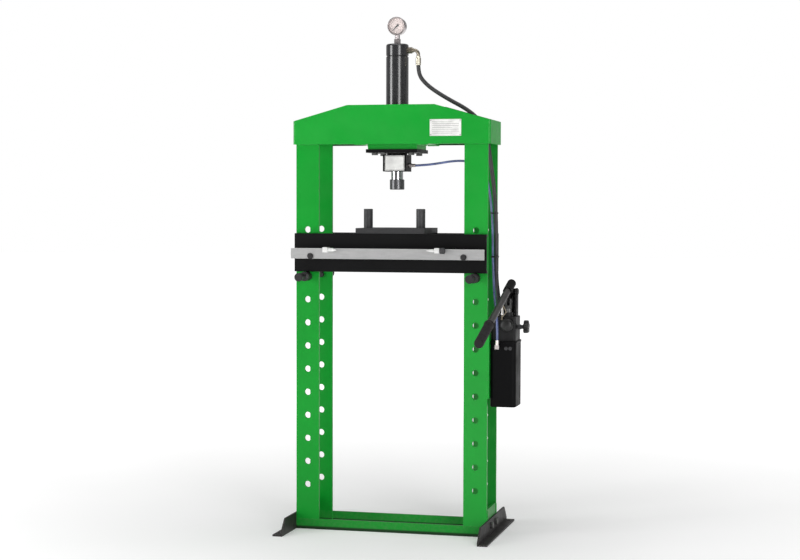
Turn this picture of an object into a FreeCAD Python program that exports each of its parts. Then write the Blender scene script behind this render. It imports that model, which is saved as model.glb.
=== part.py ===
"""Hydraulic shop press with a hand pump: a parametric FreeCAD document, in millimetres.

Frame: origin on the floor under the ram's axis, +X to the right, +Y to the back, +Z up.
Every piece is its own labelled object, and is written to parts/LABEL.step.
"""
import FreeCAD, Part
import math
import os
import Sketcher

Vector = FreeCAD.Vector
doc = FreeCAD.newDocument("ShopPress")

# ---------------------------------------------------------------- driving dimensions

SIZES = {
    # frame of four drilled flat uprights
    "frame_half_width": 335.5,
    "frame_half_depth": 86,
    "upright_width": 81,
    "upright_thick": 9,
    "upright_top": 1400,
    "hole_pitch": 80,
    "hole_rows": 12,
    "hole_radius": 11,
    "lowest_hole": 155.6,
    "base_bar_height": 36,
    # feet
    "foot_half_length": 250,
    "foot_leg_height": 56,
    "foot_leg_width": 34,
    "foot_thick": 6,
    "foot_bolt_offset": 40,
    "foot_bolt_height": 34,
    "foot_bolt_radius": 5,
    "foot_bolt_hole": 5.3,
    "anchor_offset_x": 355,
    "anchor_offset_y": 215,
    "anchor_radius": 6,
    "side_plate_height": 92,
    # crown
    "crown_thick": 9.5,
    "crown_bottom": 1327,
    "crown_shoulder": 1406,
    "crown_top": 1460,
    "crown_flat_half": 152,
    "crown_bend_radius": 8,
    "crown_base_half_width": 130,
    "crown_base_thick": 12,
    "rating_left": 137,
    "rating_right": 245,
    "rating_bottom": 1353,
    "rating_top": 1409,
    "label_thick": 0.8,
    # cylinder, bolted under the crown
    "pad_half_width": 86,
    "pad_half_depth": 68,
    "pad_thick": 17,
    "flange_half_width": 90,
    "flange_half_depth": 80,
    "flange_thick": 12,
    "flange_bolt_x": 64,
    "flange_bolt_y": 58,
    "flange_bolt_radius": 6,
    "flange_bolt_hole": 6.5,
    "barrel_radius": 38.5,
    "barrel_bore": 30,
    "barrel_top": 1627,
    "cap_groove": 4,
    "cap_top": 1671,
    "head_half_width": 41,
    "head_half_depth": 40,
    "head_bottom": 1235,
    "head_top": 1292,
    "head_neck_radius": 35,
    "head_label_left": -33,
    "head_label_right": 35,
    "head_label_bottom": 1238,
    "head_label_top": 1289,
    # ram
    "rod_radius": 20.5,
    "running_gap": 0.06,
    "nose_radius": 25,
    "nose_bottom": 1173,
    "nose_top": 1208,
    "piston_bottom": 1565,
    "piston_height": 40,
    "nose_socket": 17,
    # pressure gauge
    "gauge_height": 1731.5,
    "gauge_radius": 31.5,
    "gauge_depth": 30,
    "gauge_front": 16,
    "gauge_wall": 4,
    "dial_recess": 8,
    "needle_length": 22,
    # bed
    "bed_web_inner": 100,
    "bed_web_thick": 7,
    "bed_flange_tip": 88,
    "bed_edge_radius": 2.5,
    "bed_flange_thick": 8,
    "bed_top": 1023,
    "bed_gap": 0.3,
    "bed_tie_x": 225,
    "bed_tie_height": 968,
    "bed_tie_radius": 14,
    "bed_tie_neck": 6,
    "bed_corner_radius": 6,
    # support pins, in the tenth row of holes from the floor
    "pin_row": 9,
    "pin_radius": 10,
    "pin_collar_end": 128,
    "pin_collar_radius": 16,
    "pin_head_radius": 14.5,
    "pin_length": 196,
    # straightening centres on their rail
    "rail_front": 150,
    "rail_thick": 8,
    "rail_bottom": 937.5,
    "rail_top": 973,
    "rail_bolt_x": 266,
    "rail_bolt_height": 946.5,
    "rail_bolt_radius": 5,
    "rail_bolt_hole": 5.3,
    "rail_bolt_head": 10.5,
    "centre_axis_y": 163,
    "centre_axis_height": 968,
    "left_centre_x": -209,
    "right_centre_x": 179,
    "shoe_half": 8,
    "shoe_reach": 21,
    "shoe_clearance": 0.4,
    "centre_radius": 6.5,
    "spindle_radius": 5,
    # press plate and its posts
    "plate_half_width": 120,
    "plate_half_depth": 102,
    "plate_thick": 18.5,
    "plate_hole_radius": 42.5,
    "post_x": 92.5,
    "post_y": -36,
    "post_spigot": 10,
    "post_radius": 15.5,
    "post_top": 1107,
    # hand pump on the right upright
    "pump_plate_thick": 6,
    "pump_mount_bottom": 470,
    "pump_mount_top": 700,
    "tank_right": 430,
    "tank_front": 75,
    "tank_back": 36,
    "tank_bottom": 441,
    "tank_top": 664,
    "pump_left": 345,
    "pump_right": 427,
    "pump_front": 65,
    "pump_back": 28,
    "pump_top": 746,
    "pump_hose_x": 358,
    "lever_x": 400,
    "pivot_y": -4,
    "pivot_height": 828,
    "pivot_radius": 6,
    "lug_gap": 16.5,
    "lug_thick": 6.5,
    "lug_half": 14,
    "plunger_y": -44,
    "plunger_pin_height": 798,
    "plunger_radius": 9,
    "lever_drop": 16.4,
    "lever_rise": 23,
    "socket_radius": 15,
    "lever_radius": 11.5,
    "grip_radius": 15.5,
    "lever_start": -22,
    "lever_seat": 8,
    "socket_end": 66,
    "grip_start": 388,
    "grip_end": 562,
    "release_y": -30,
    "release_height": 709,
    "release_lobe_radius": 7.5,
    "release_lobe_ring": 15.5,
    "release_reach": 22,
    "selector_height": 719,
    # hoses
    "hose_radius": 7,
    "return_radius": 4,
    "elbow_height": 1649,
    "elbow_x": 74,
    "elbow_bend": 15,
    "ferrule_bottom": 1598,
    "head_exit_x": 62,
    "union_y": 12,
    "return_height": 1256,
    "tank_elbow_x": 369.5,
    "tank_elbow_height": 645,
}

sheet = doc.addObject("Spreadsheet::Sheet", "Sizes")
for row, (alias, number) in enumerate(SIZES.items(), start=1):
    sheet.set(f"A{row}", alias)
    sheet.set(f"B{row}", str(number))
    sheet.setAlias(f"B{row}", alias)
doc.recompute()


class Size:
    """A length worked out from the sheet: its value now, and the expression that keeps it."""

    def __init__(self, text, value):
        self.text = text
        self.value = value

    def _join(self, sign, other, swap=False):
        other = other if isinstance(other, Size) else Size(repr(other), other)
        left, right = (other, self) if swap else (self, other)
        results = {
            "+": left.value + right.value,
            "-": left.value - right.value,
            "*": left.value * right.value,
        }
        return Size(f"({left.text} {sign} {right.text})", results[sign])

    def __add__(self, other):
        return self._join("+", other)

    def __radd__(self, other):
        return self._join("+", other, swap=True)

    def __sub__(self, other):
        return self._join("-", other)

    def __rsub__(self, other):
        return self._join("-", other, swap=True)

    def __mul__(self, other):
        return self._join("*", other)

    def __rmul__(self, other):
        return self._join("*", other, swap=True)

    def __neg__(self):
        return self * -1


class Sheet:
    """Each alias of the sheet as a Size, such as S.hole_pitch."""

    def __getattr__(self, alias):
        return Size(f"Sizes.{alias}", float(SIZES[alias]))


S = Sheet()


def number(size):
    return size.value if isinstance(size, Size) else float(size)


def bind(thing, prop, size):
    thing.setExpression(prop, size.text if isinstance(size, Size) else repr(float(size)))


def place(thing, at):
    for axis, size in zip("xyz", at):
        bind(thing, f"Placement.Base.{axis}", size)


NODES = []


def publish(thing, label):
    """Give a finished piece its label and put it on the list of files."""
    thing.Label = label
    NODES.append(thing)
    return thing


# ---------------------------------------------------------------- sketches and features

def new_body(name):
    return doc.addObject("PartDesign::Body", name)


def sketch_on(body, role, level):
    """A sketch on the body's own origin plane, moved to a level along that plane's world axis."""
    sketch = body.newObject("Sketcher::SketchObject", f"{body.Name}_sketch")
    plane = next(item for item in body.Origin.OriginFeatures if item.Role == role)
    sketch.AttachmentSupport = [(plane, "")]
    sketch.MapMode = "FlatFace"
    # the XZ plane's normal is -Y
    bind(sketch, "AttachmentOffset.Base.z", -level if role == "XZ_Plane" else level)
    return sketch


def hold_point(sketch, geometry, point, x, y):
    """Tie a point of the sketch to its place, with both distances bound to the sheet."""
    kinds = (("DistanceX", x, -2), ("DistanceY", y, -1))
    for kind, size, axis in kinds:
        if number(size) == 0:
            sketch.addConstraint(Sketcher.Constraint("PointOnObject", geometry, point, axis))
            continue
        index = sketch.addConstraint(
            Sketcher.Constraint(kind, -1, 1, geometry, point, number(size)))
        bind(sketch, f"Constraints[{index}]", size)


def polygon(points):
    """A closed outline, given as (x, y) sizes in the sketch's plane."""
    def draw(sketch):
        corners = [Vector(number(x), number(y), 0) for x, y in points]
        lines = [sketch.addGeometry(Part.LineSegment(a, b), False)
                 for a, b in zip(corners, corners[1:] + corners[:1])]
        for line, following in zip(lines, lines[1:] + lines[:1]):
            sketch.addConstraint(Sketcher.Constraint("Coincident", line, 2, following, 1))
        for line, (x, y) in zip(lines, points):
            hold_point(sketch, line, 1, x, y)
    return draw


def rectangle(x0, y0, x1, y1):
    return polygon([(x0, y0), (x1, y0), (x1, y1), (x0, y1)])


def circle(x, y, radius):
    def draw(sketch):
        centre = Vector(number(x), number(y), 0)
        index = sketch.addGeometry(Part.Circle(centre, Vector(0, 0, 1), number(radius)), False)
        hold_point(sketch, index, 3, x, y)
        held = sketch.addConstraint(Sketcher.Constraint("Radius", index, number(radius)))
        bind(sketch, f"Constraints[{held}]", radius)
    return draw


CUTS = []


def pad(body, role, level, length, *outlines):
    """Add material from the level, along the plane's world axis."""
    sketch = sketch_on(body, role, level)
    for draw in outlines:
        draw(sketch)
    feature = body.newObject("PartDesign::Pad", f"{body.Name}_pad")
    feature.Profile = sketch
    bind(feature, "Length", length)
    feature.Reversed = role == "XZ_Plane"
    return feature


def pocket(body, role, level, length, *outlines):
    """Cut from the level, along the plane's world axis."""
    sketch = sketch_on(body, role, level)
    for draw in outlines:
        draw(sketch)
    feature = body.newObject("PartDesign::Pocket", f"{body.Name}_pocket")
    feature.Profile = sketch
    bind(feature, "Length", length)
    feature.Reversed = role != "XZ_Plane"
    CUTS.append(feature)
    return feature


def round_edges(body, kind, size, wanted):
    """Fillet or chamfer the edges of the body so far that the test picks out."""
    doc.recompute()
    edges = [f"Edge{i}" for i, edge in enumerate(body.Tip.Shape.Edges, start=1) if wanted(edge)]
    feature = body.newObject(f"PartDesign::{kind}", f"{body.Name}_{kind.lower()}")
    feature.Base = (feature.BaseFeature, edges)
    bind(feature, "Radius" if kind == "Fillet" else "Size", size)
    return feature


def is_vertical(edge):
    low, high = edge.BoundBox.ZMin, edge.BoundBox.ZMax
    flat = edge.BoundBox.XLength < 1e-6 and edge.BoundBox.YLength < 1e-6
    return flat and high - low > 1


def is_at_height(height):
    def test(edge):
        return abs(edge.BoundBox.ZMin - height) < 1e-4 and abs(edge.BoundBox.ZMax - height) < 1e-4
    return test


TURNS = {
    "Z": FreeCAD.Rotation(),
    "-Z": FreeCAD.Rotation(Vector(1, 0, 0), 180),
    "X": FreeCAD.Rotation(Vector(0, 1, 0), 90),
    "-X": FreeCAD.Rotation(Vector(0, 1, 0), -90),
    "Y": FreeCAD.Rotation(Vector(1, 0, 0), -90),
    "-Y": FreeCAD.Rotation(Vector(1, 0, 0), 90),
}


def turned(name, profile, at, along="Z"):
    """A turned piece: an outline of (radius, distance) revolved about its axis."""
    body = new_body(name)
    sketch = sketch_on(body, "XZ_Plane", Size("0", 0.0))
    polygon(profile)(sketch)
    feature = body.newObject("PartDesign::Revolution", f"{name}_revolution")
    feature.Profile = sketch
    feature.ReferenceAxis = (sketch, ["V_Axis"])
    feature.Angle = 360
    body.Placement = FreeCAD.Placement(Vector(), TURNS[along])
    place(body, at)
    return body


# ---------------------------------------------------------------- primitives

def box(name, low, high):
    """A block between two corners."""
    thing = doc.addObject("Part::Box", name)
    for prop, a, b in zip(("Length", "Width", "Height"), low, high):
        bind(thing, prop, b - a)
    place(thing, low)
    return thing


def rod(name, at, along, radius, length):
    thing = doc.addObject("Part::Cylinder", name)
    bind(thing, "Radius", radius)
    bind(thing, "Height", length)
    thing.Placement = FreeCAD.Placement(Vector(), TURNS[along])
    place(thing, at)
    return thing


def hexagon(name, at, along, across_flats, length):
    thing = doc.addObject("Part::Prism", name)
    thing.Polygon = 6
    thing.Circumradius = across_flats / math.sqrt(3)
    bind(thing, "Height", length)
    thing.Placement = FreeCAD.Placement(Vector(), TURNS[along])
    place(thing, at)
    return thing


def fuse(name, *things):
    joined = doc.addObject("Part::MultiFuse", name)
    joined.Shapes = list(things)
    joined.Refine = True
    return joined


def cut(name, base, tool):
    thing = doc.addObject("Part::Cut", name)
    thing.Base = base
    thing.Tool = tool
    return thing


def group(name, things):
    """Identical pieces in one node, each a solid of its own."""
    thing = doc.addObject("Part::Compound", name)
    thing.Links = list(things)
    return thing


def whole(value):
    """A plain length as a Size, for places that subtract."""
    return Size(repr(float(value)), float(value))


ZERO = whole(0)
BOLT_ACROSS_FLATS = 19


def hex_bolt(name, at, along, radius, length):
    """A bolt whose head sits at the given point; its shank points along the axis."""
    shank = rod(f"{name}_shank", at, along, radius, length)
    opposite = along[1:] if along.startswith("-") else f"-{along}"
    top = hexagon(f"{name}_head", at, opposite, BOLT_ACROSS_FLATS, whole(8))
    return fuse(name, shank, top)


# ---------------------------------------------------------------- uprights and base

inner_x = S.frame_half_width - S.upright_width
hole_x = S.frame_half_width - S.upright_width * 0.5


def make_upright(name, side, face):
    """A flat bar with a column of holes; side is -1 left or 1 right, face -1 front or 1 rear."""
    body = new_body(name)
    level = -S.frame_half_depth if face < 0 else S.frame_half_depth - S.upright_thick
    edges = sorted((inner_x * side, S.frame_half_width * side), key=number)
    pad(body, "XZ_Plane", level, S.upright_thick,
        rectangle(edges[0], S.base_bar_height, edges[1], S.upright_top))
    hole = pocket(body, "XZ_Plane", level - 1, S.upright_thick + 2,
                  circle(hole_x * side, S.lowest_hole, S.hole_radius))
    rows = body.newObject("PartDesign::LinearPattern", f"{name}_rows")
    rows.Originals = [hole]
    z_axis = next(item for item in body.Origin.OriginFeatures if item.Role == "Z_Axis")
    rows.Direction = (z_axis, [""])
    bind(rows, "Length", S.hole_pitch * (S.hole_rows - 1))
    rows.Occurrences = int(SIZES["hole_rows"])
    body.Tip = rows
    return publish(body, name)


for side, side_name in ((-1, "left"), (1, "right")):
    for face, face_name in ((-1, "front"), (1, "rear")):
        make_upright(f"{face_name}_{side_name}_upright", side, face)

for face, face_name in ((-1, "front"), (1, "rear")):
    level = -S.frame_half_depth if face < 0 else S.frame_half_depth - S.upright_thick
    bar = new_body(f"{face_name}_base_bar")
    pad(bar, "XZ_Plane", level, S.upright_thick,
        rectangle(-S.frame_half_width, ZERO, S.frame_half_width, S.base_bar_height))
    publish(bar, f"{face_name}_base_bar")

# ---------------------------------------------------------------- feet


def foot_bolt_holes():
    return [circle(S.foot_bolt_offset * end, S.foot_bolt_height, S.foot_bolt_hole)
            for end in (-1, 1)]


def make_foot(name, side):
    """An angle running front to back, bolted to the side of the frame, with floor anchor holes."""
    body = new_body(name)
    near = S.frame_half_width
    far = near + S.foot_leg_width
    inside = near + S.foot_thick
    outline = [(near, ZERO), (far, ZERO), (far, S.foot_thick), (inside, S.foot_thick),
               (inside, S.foot_leg_height), (near, S.foot_leg_height)]
    if side < 0:
        outline = [(-x, z) for x, z in outline]
    pad(body, "XZ_Plane", -S.foot_half_length, S.foot_half_length * 2, polygon(outline))
    slope = S.foot_leg_height - S.foot_thick * 2
    for end in (-1, 1):
        tip = S.foot_half_length * end
        corner = [(tip, S.foot_leg_height + 1), (tip, S.foot_thick * 2),
                  (tip - slope * end, S.foot_leg_height + 1)]
        start = near - 1 if side > 0 else -(inside + 1)
        pocket(body, "YZ_Plane", start, S.foot_thick + 2, polygon(corner))
    pocket(body, "XY_Plane", whole(-1), S.foot_thick + 2,
           circle(S.anchor_offset_x * side, S.anchor_offset_y, S.anchor_radius),
           circle(S.anchor_offset_x * side, -S.anchor_offset_y, S.anchor_radius))
    start = near - 1 if side > 0 else -(inside + 1)
    pocket(body, "YZ_Plane", start, S.foot_thick + 2, *foot_bolt_holes())
    return publish(body, name)


def make_side_plate(name, side):
    """A plate that closes the bottom of the column between front and rear uprights."""
    inside = S.frame_half_width - S.upright_thick
    low_x = inside if side > 0 else -S.frame_half_width
    depth = S.frame_half_depth - S.upright_thick
    body = new_body(name)
    pad(body, "YZ_Plane", low_x, S.upright_thick,
        rectangle(-depth, ZERO, depth, S.side_plate_height))
    pocket(body, "YZ_Plane", low_x - 1, S.upright_thick + 2, *foot_bolt_holes())
    return publish(body, name)


make_foot("left_foot", -1)
make_foot("right_foot", 1)
make_side_plate("left_side_plate", -1)
make_side_plate("right_side_plate", 1)

bolts = []
for side, along in ((-1, "X"), (1, "-X")):
    for end in (-1, 1):
        head_at = ((S.frame_half_width + S.foot_thick) * side,
                   S.foot_bolt_offset * end, S.foot_bolt_height)
        bolts.append(hex_bolt(f"foot_bolt_{len(bolts)}", head_at, along, S.foot_bolt_radius,
                              S.foot_thick + S.upright_thick))
publish(group("foot_bolts", bolts), "foot_bolts")

# ---------------------------------------------------------------- crown


def make_crown(name, face):
    """A crown half: a plate with sloping shoulders whose ends are bent back to the middle."""
    body = new_body(name)
    outer_x = S.frame_half_width + S.crown_thick
    outer_y = (S.frame_half_depth + S.crown_thick) * face
    inner_y = S.frame_half_depth * face
    plan = [(-outer_x, ZERO), (-outer_x, outer_y), (outer_x, outer_y), (outer_x, ZERO),
            (S.frame_half_width, ZERO), (S.frame_half_width, inner_y),
            (-S.frame_half_width, inner_y), (-S.frame_half_width, ZERO)]
    pad(body, "XY_Plane", S.crown_bottom, S.crown_top - S.crown_bottom, polygon(plan))
    start = number(outer_y) - 1 if face < 0 else -1
    reach = S.frame_half_depth + S.crown_thick + 2
    over = S.crown_top + 1
    for side in (-1, 1):
        past = (outer_x + 1) * side
        flat_end = S.crown_flat_half * side
        corner = [(past, S.crown_shoulder), (past, over), (flat_end, over),
                  (flat_end, S.crown_top), (outer_x * side, S.crown_shoulder)]
        pocket(body, "XZ_Plane", whole(start), reach, polygon(corner))
    far_corner = (number(outer_x), number(outer_y))

    def is_bend(edge):
        box = edge.BoundBox
        return (is_vertical(edge) and abs(abs(box.XMin) - far_corner[0]) < 0.01
                and abs(box.YMin - far_corner[1]) < 0.01)

    round_edges(body, "Fillet", S.crown_bend_radius, is_bend)
    return publish(body, name)


make_crown("crown_front", -1)
make_crown("crown_rear", 1)


def drilled_plate(name, low, high, bore):
    """A flat plate with a middle bore and four bolt holes."""
    body = new_body(name)
    pad(body, "XY_Plane", low[2], high[2] - low[2], rectangle(low[0], low[1], high[0], high[1]))
    holes = [circle(ZERO, ZERO, bore)]
    for x_sign in (-1, 1):
        for y_sign in (-1, 1):
            holes.append(circle(S.flange_bolt_x * x_sign, S.flange_bolt_y * y_sign,
                                S.flange_bolt_hole))
    pocket(body, "XY_Plane", low[2] - 1, high[2] - low[2] + 2, *holes)
    return publish(body, name)


pad_bottom = S.crown_bottom - S.pad_thick
flange_bottom = pad_bottom - S.flange_thick
drilled_plate("crown_base_plate",
              (-S.crown_base_half_width, -S.frame_half_depth, S.crown_bottom),
              (S.crown_base_half_width, S.frame_half_depth, S.crown_bottom + S.crown_base_thick),
              S.barrel_radius + 0.5)
drilled_plate("mounting_pad",
              (-S.pad_half_width, -S.pad_half_depth, pad_bottom),
              (S.pad_half_width, S.pad_half_depth, S.crown_bottom),
              S.barrel_radius + 0.5)
drilled_plate("cylinder_flange",
              (-S.flange_half_width, -S.flange_half_depth, flange_bottom),
              (S.flange_half_width, S.flange_half_depth, pad_bottom),
              S.barrel_bore)

bolts = []
for x_sign in (-1, 1):
    for y_sign in (-1, 1):
        head_at = (S.flange_bolt_x * x_sign, S.flange_bolt_y * y_sign, flange_bottom)
        shank = S.flange_thick + S.pad_thick + S.crown_base_thick + 8
        bolts.append(hex_bolt(f"flange_bolt_{len(bolts)}", head_at, "Z",
                              S.flange_bolt_radius, shank))
publish(group("flange_bolts", bolts), "flange_bolts")

crown_front_y = -(S.frame_half_depth + S.crown_thick)
publish(box("rating_plate",
            (S.rating_left, crown_front_y - S.label_thick, S.rating_bottom),
            (S.rating_right, crown_front_y, S.rating_top)), "rating_plate")

# ---------------------------------------------------------------- cylinder and ram

publish(turned("cylinder_barrel",
               [(S.barrel_bore, pad_bottom), (S.barrel_radius, pad_bottom),
                (S.barrel_radius, S.barrel_top), (S.barrel_bore, S.barrel_top)],
               (ZERO, ZERO, ZERO)), "cylinder_barrel")

groove_top = S.barrel_top + S.cap_groove
spigot = S.barrel_bore - 0.1
neck = S.barrel_radius - 4
cap = turned("cylinder_cap",
             [(ZERO, S.barrel_top - 8), (spigot, S.barrel_top - 8), (spigot, S.barrel_top),
              (neck, S.barrel_top), (neck, groove_top), (S.barrel_radius, groove_top),
              (S.barrel_radius, S.cap_top), (ZERO, S.cap_top)],
             (ZERO, ZERO, ZERO))
round_edges(cap, "Fillet", whole(7), is_at_height(SIZES["cap_top"]))
publish(cap, "cylinder_cap")

head = new_body("head_block")
pad(head, "XY_Plane", S.head_bottom, S.head_top - S.head_bottom,
    rectangle(-S.head_half_width, -S.head_half_depth, S.head_half_width, S.head_half_depth))
pad(head, "XY_Plane", S.head_top, flange_bottom - S.head_top,
    circle(ZERO, ZERO, S.head_neck_radius))
pad(head, "XY_Plane", flange_bottom, whole(11), circle(ZERO, ZERO, S.barrel_bore - 0.2))
pocket(head, "XY_Plane", S.head_bottom - 1, flange_bottom - S.head_bottom + 14,
       circle(ZERO, ZERO, S.rod_radius + S.running_gap))
round_edges(head, "Chamfer", whole(2),
            lambda edge: is_vertical(edge) and abs(edge.BoundBox.XMax) > SIZES["head_half_width"] - 1)
publish(head, "head_block")

publish(box("head_label",
            (S.head_label_left, -(S.head_half_depth + S.label_thick), S.head_label_bottom),
            (S.head_label_right, -S.head_half_depth, S.head_label_top)), "head_label")

rod_bottom = S.nose_bottom + S.nose_socket
land = S.barrel_bore - S.running_gap
seal_groove = S.barrel_bore - 3
groove_low = S.piston_bottom + 14
groove_high = S.piston_bottom + 26
piston_top = S.piston_bottom + S.piston_height
publish(turned("piston",
               [(ZERO, S.piston_bottom), (land, S.piston_bottom), (land, groove_low),
                (seal_groove, groove_low), (seal_groove, groove_high), (land, groove_high),
                (land, piston_top), (ZERO, piston_top)],
               (ZERO, ZERO, ZERO)), "piston")
publish(turned("ram_rod",
               [(ZERO, rod_bottom), (S.rod_radius, rod_bottom), (S.rod_radius, S.piston_bottom),
                (ZERO, S.piston_bottom)],
               (ZERO, ZERO, ZERO)), "ram_rod")
socket = S.rod_radius + 0.1
publish(turned("ram_nose",
               [(ZERO, S.nose_bottom), (S.nose_radius - 1.5, S.nose_bottom),
                (S.nose_radius, S.nose_bottom + 1.5), (S.nose_radius, S.nose_top - 1.5),
                (S.nose_radius - 1.5, S.nose_top), (socket, S.nose_top),
                (socket, rod_bottom), (ZERO, rod_bottom)],
               (ZERO, ZERO, ZERO)), "ram_nose")

# ---------------------------------------------------------------- pressure gauge

gauge_floor = whole(3)
stem = fuse("gauge_stem",
            rod("gauge_neck", (ZERO, ZERO, S.cap_top), "Z", 8.5, whole(32)),
            hexagon("gauge_hex", (ZERO, ZERO, S.cap_top), "Z", 20, whole(17)))
can = S.gauge_radius - 1.5
bezel = S.gauge_depth - 7
mouth = S.gauge_radius - S.gauge_wall
cup = turned("gauge_cup",
             [(ZERO, ZERO), (can - 1.5, ZERO), (can, whole(1.5)), (can, bezel),
              (S.gauge_radius, bezel), (S.gauge_radius, S.gauge_depth - 1.5),
              (can, S.gauge_depth), (mouth, S.gauge_depth), (mouth, gauge_floor),
              (ZERO, gauge_floor)],
             (ZERO, S.gauge_depth - S.gauge_front, S.gauge_height), "-Y")
solid_case = fuse("gauge_case_solid", cup, stem)
hollow_start = S.gauge_depth - S.gauge_front - gauge_floor
hollow = rod("gauge_hollow", (ZERO, hollow_start, S.gauge_height), "-Y", mouth, S.gauge_depth)
publish(cut("gauge_case", solid_case, hollow), "gauge_case")

dial_face = -S.gauge_front + S.dial_recess
dial_thick = whole(1.5)
publish(rod("gauge_dial", (ZERO, dial_face + dial_thick, S.gauge_height), "-Y",
            mouth - 0.2, dial_thick), "gauge_dial")
publish(rod("gauge_lens", (ZERO, -S.gauge_front + 3.5, S.gauge_height), "-Y",
            mouth - 0.2, whole(2)), "gauge_lens")

needle = new_body("gauge_needle")
needle_half = [(-7, 1.3), (8, 1.1), (SIZES["needle_length"], 0.35)]
needle_left = [(whole(-half), whole(along)) for along, half in needle_half]
needle_right = [(whole(half), whole(along)) for along, half in reversed(needle_half)]
pad(needle, "XZ_Plane", ZERO, whole(0.8), polygon(needle_left + needle_right))
pad(needle, "XZ_Plane", whole(-0.7), whole(2.2), circle(ZERO, ZERO, whole(2.8)))
zero_reading = FreeCAD.Rotation(Vector(0, 1, 0), 225)
needle.Placement = FreeCAD.Placement(Vector(), zero_reading)
place(needle, (ZERO, dial_face - 2, S.gauge_height))
publish(needle, "gauge_needle")

# ---------------------------------------------------------------- bed


bed_bottom = S.lowest_hole + S.hole_pitch * S.pin_row + S.pin_collar_radius + S.bed_gap


def make_beam(name, face):
    """A channel lying on its side: a flat web outside, with flanges that point in at the frame."""
    web = S.bed_web_inner
    outer = web + S.bed_web_thick
    tip = S.bed_flange_tip
    low, high, thick = bed_bottom, S.bed_top, S.bed_flange_thick
    outline = [(outer, low), (outer, high), (tip, high), (tip, high - thick),
               (web, high - thick), (web, low + thick), (tip, low + thick), (tip, low)]
    if face < 0:
        outline = [(-y, z) for y, z in outline]
    body = new_body(name)
    pad(body, "YZ_Plane", -S.frame_half_width, S.frame_half_width * 2, polygon(outline))

    def runs_at(depth):
        def test(edge):
            box = edge.BoundBox
            lengthwise = box.YLength < 1e-6 and box.ZLength < 1e-6
            return lengthwise and abs(abs(box.YMin) - number(depth)) < 0.01
        return test

    round_edges(body, "Fillet", S.bed_corner_radius, runs_at(web))
    round_edges(body, "Fillet", S.bed_edge_radius, runs_at(outer))
    return publish(body, name)


front_beam = make_beam("bed_front_beam", -1)
rear_beam = make_beam("bed_rear_beam", 1)

ties = []
for side in (-1, 1):
    name = f"bed_tie_{len(ties)}"
    span = S.bed_web_inner * 2
    at = (S.bed_tie_x * side, S.bed_web_inner, S.bed_tie_height)
    parts = [rod(f"{name}_bar", at, "-Y", S.bed_tie_radius, span)]
    outer = S.bed_web_inner + S.bed_web_thick
    for end, along in ((-1, "-Y"), (1, "Y")):
        web_at = (S.bed_tie_x * side, S.bed_web_inner * end, S.bed_tie_height)
        head_at = (S.bed_tie_x * side, outer * end, S.bed_tie_height)
        parts.append(rod(f"{name}_neck_{end + 1}", web_at, along, S.bed_tie_neck, S.bed_web_thick))
        parts.append(hexagon(f"{name}_nut_{end + 1}", head_at, along, BOLT_ACROSS_FLATS, whole(9)))
    ties.append(fuse(name, *parts))
publish(group("bed_ties", ties), "bed_ties")


def drill_web(body, level):
    """Holes through a beam's web for the necks of the two ties."""
    radius = S.bed_tie_neck + 0.2
    pocket(body, "XZ_Plane", level, S.bed_web_thick + 2,
           circle(-S.bed_tie_x, S.bed_tie_height, radius),
           circle(S.bed_tie_x, S.bed_tie_height, radius))


drill_web(front_beam, -(S.bed_web_inner + S.bed_web_thick + 1))
drill_web(rear_beam, S.bed_web_inner - 1)

rail = new_body("centre_rail")
pad(rail, "XZ_Plane", -S.rail_front, S.rail_thick,
    rectangle(-S.frame_half_width, S.rail_bottom, S.frame_half_width, S.rail_top))
pocket(rail, "XZ_Plane", -(S.rail_front + 1), S.rail_thick + 2,
       circle(-S.rail_bolt_x, S.rail_bolt_height, S.rail_bolt_hole),
       circle(S.rail_bolt_x, S.rail_bolt_height, S.rail_bolt_hole))
round_edges(rail, "Chamfer", whole(1),
            lambda edge: edge.BoundBox.XLength > SIZES["frame_half_width"])
publish(rail, "centre_rail")

standoff = S.rail_front - S.rail_thick - S.bed_web_inner - S.bed_web_thick
studs = []
for side in (-1, 1):
    at = (S.rail_bolt_x * side, -(S.bed_web_inner + S.bed_web_thick), S.rail_bolt_height)
    over = standoff + S.rail_thick
    spacer = whole(11)
    studs.append(turned(f"rail_bolt_{len(studs)}",
                        [(ZERO, ZERO), (spacer, ZERO), (spacer, standoff),
                         (S.rail_bolt_radius, standoff), (S.rail_bolt_radius, over),
                         (S.rail_bolt_head, over), (S.rail_bolt_head, over + 3),
                         (S.rail_bolt_head - 4, over + 7), (ZERO, over + 7)],
                        at, "-Y"))
publish(group("rail_bolts", studs), "rail_bolts")

# ---------------------------------------------------------------- straightening centres

shoe_front = S.rail_front + S.shoe_reach
hook_front = S.rail_front + S.shoe_clearance
hook_back = S.rail_front - S.rail_thick - S.shoe_clearance
hook_top = S.rail_top + S.shoe_clearance


def centre_shoe(name, x, bore):
    """A block that hooks over the rail, with a bore along the rail's front if it has a size."""
    body = new_body(name)
    low, top = S.rail_top - 13, S.rail_top + 4
    tail = hook_back - 4
    outline = [(-shoe_front, low), (-hook_front, low), (-hook_front, hook_top),
               (-hook_back, hook_top), (-hook_back, low), (-tail, low), (-tail, top),
               (-shoe_front, top)]
    pad(body, "YZ_Plane", x - S.shoe_half, S.shoe_half * 2, polygon(outline))
    if bore:
        pocket(body, "YZ_Plane", x - S.shoe_half - 1, S.shoe_half * 2 + 2,
               circle(-S.centre_axis_y, S.centre_axis_height, bore))
    return body


left_shoe = centre_shoe("left_shoe", S.left_centre_x, None)
point_length = whole(32)
left_point = turned("left_point",
                    [(ZERO, ZERO), (S.centre_radius, ZERO), (S.centre_radius, point_length - 14),
                     (ZERO, point_length)],
                    (S.left_centre_x + S.shoe_half, -S.centre_axis_y, S.centre_axis_height), "X")
publish(fuse("left_centre", left_shoe, left_point), "left_centre")

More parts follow.
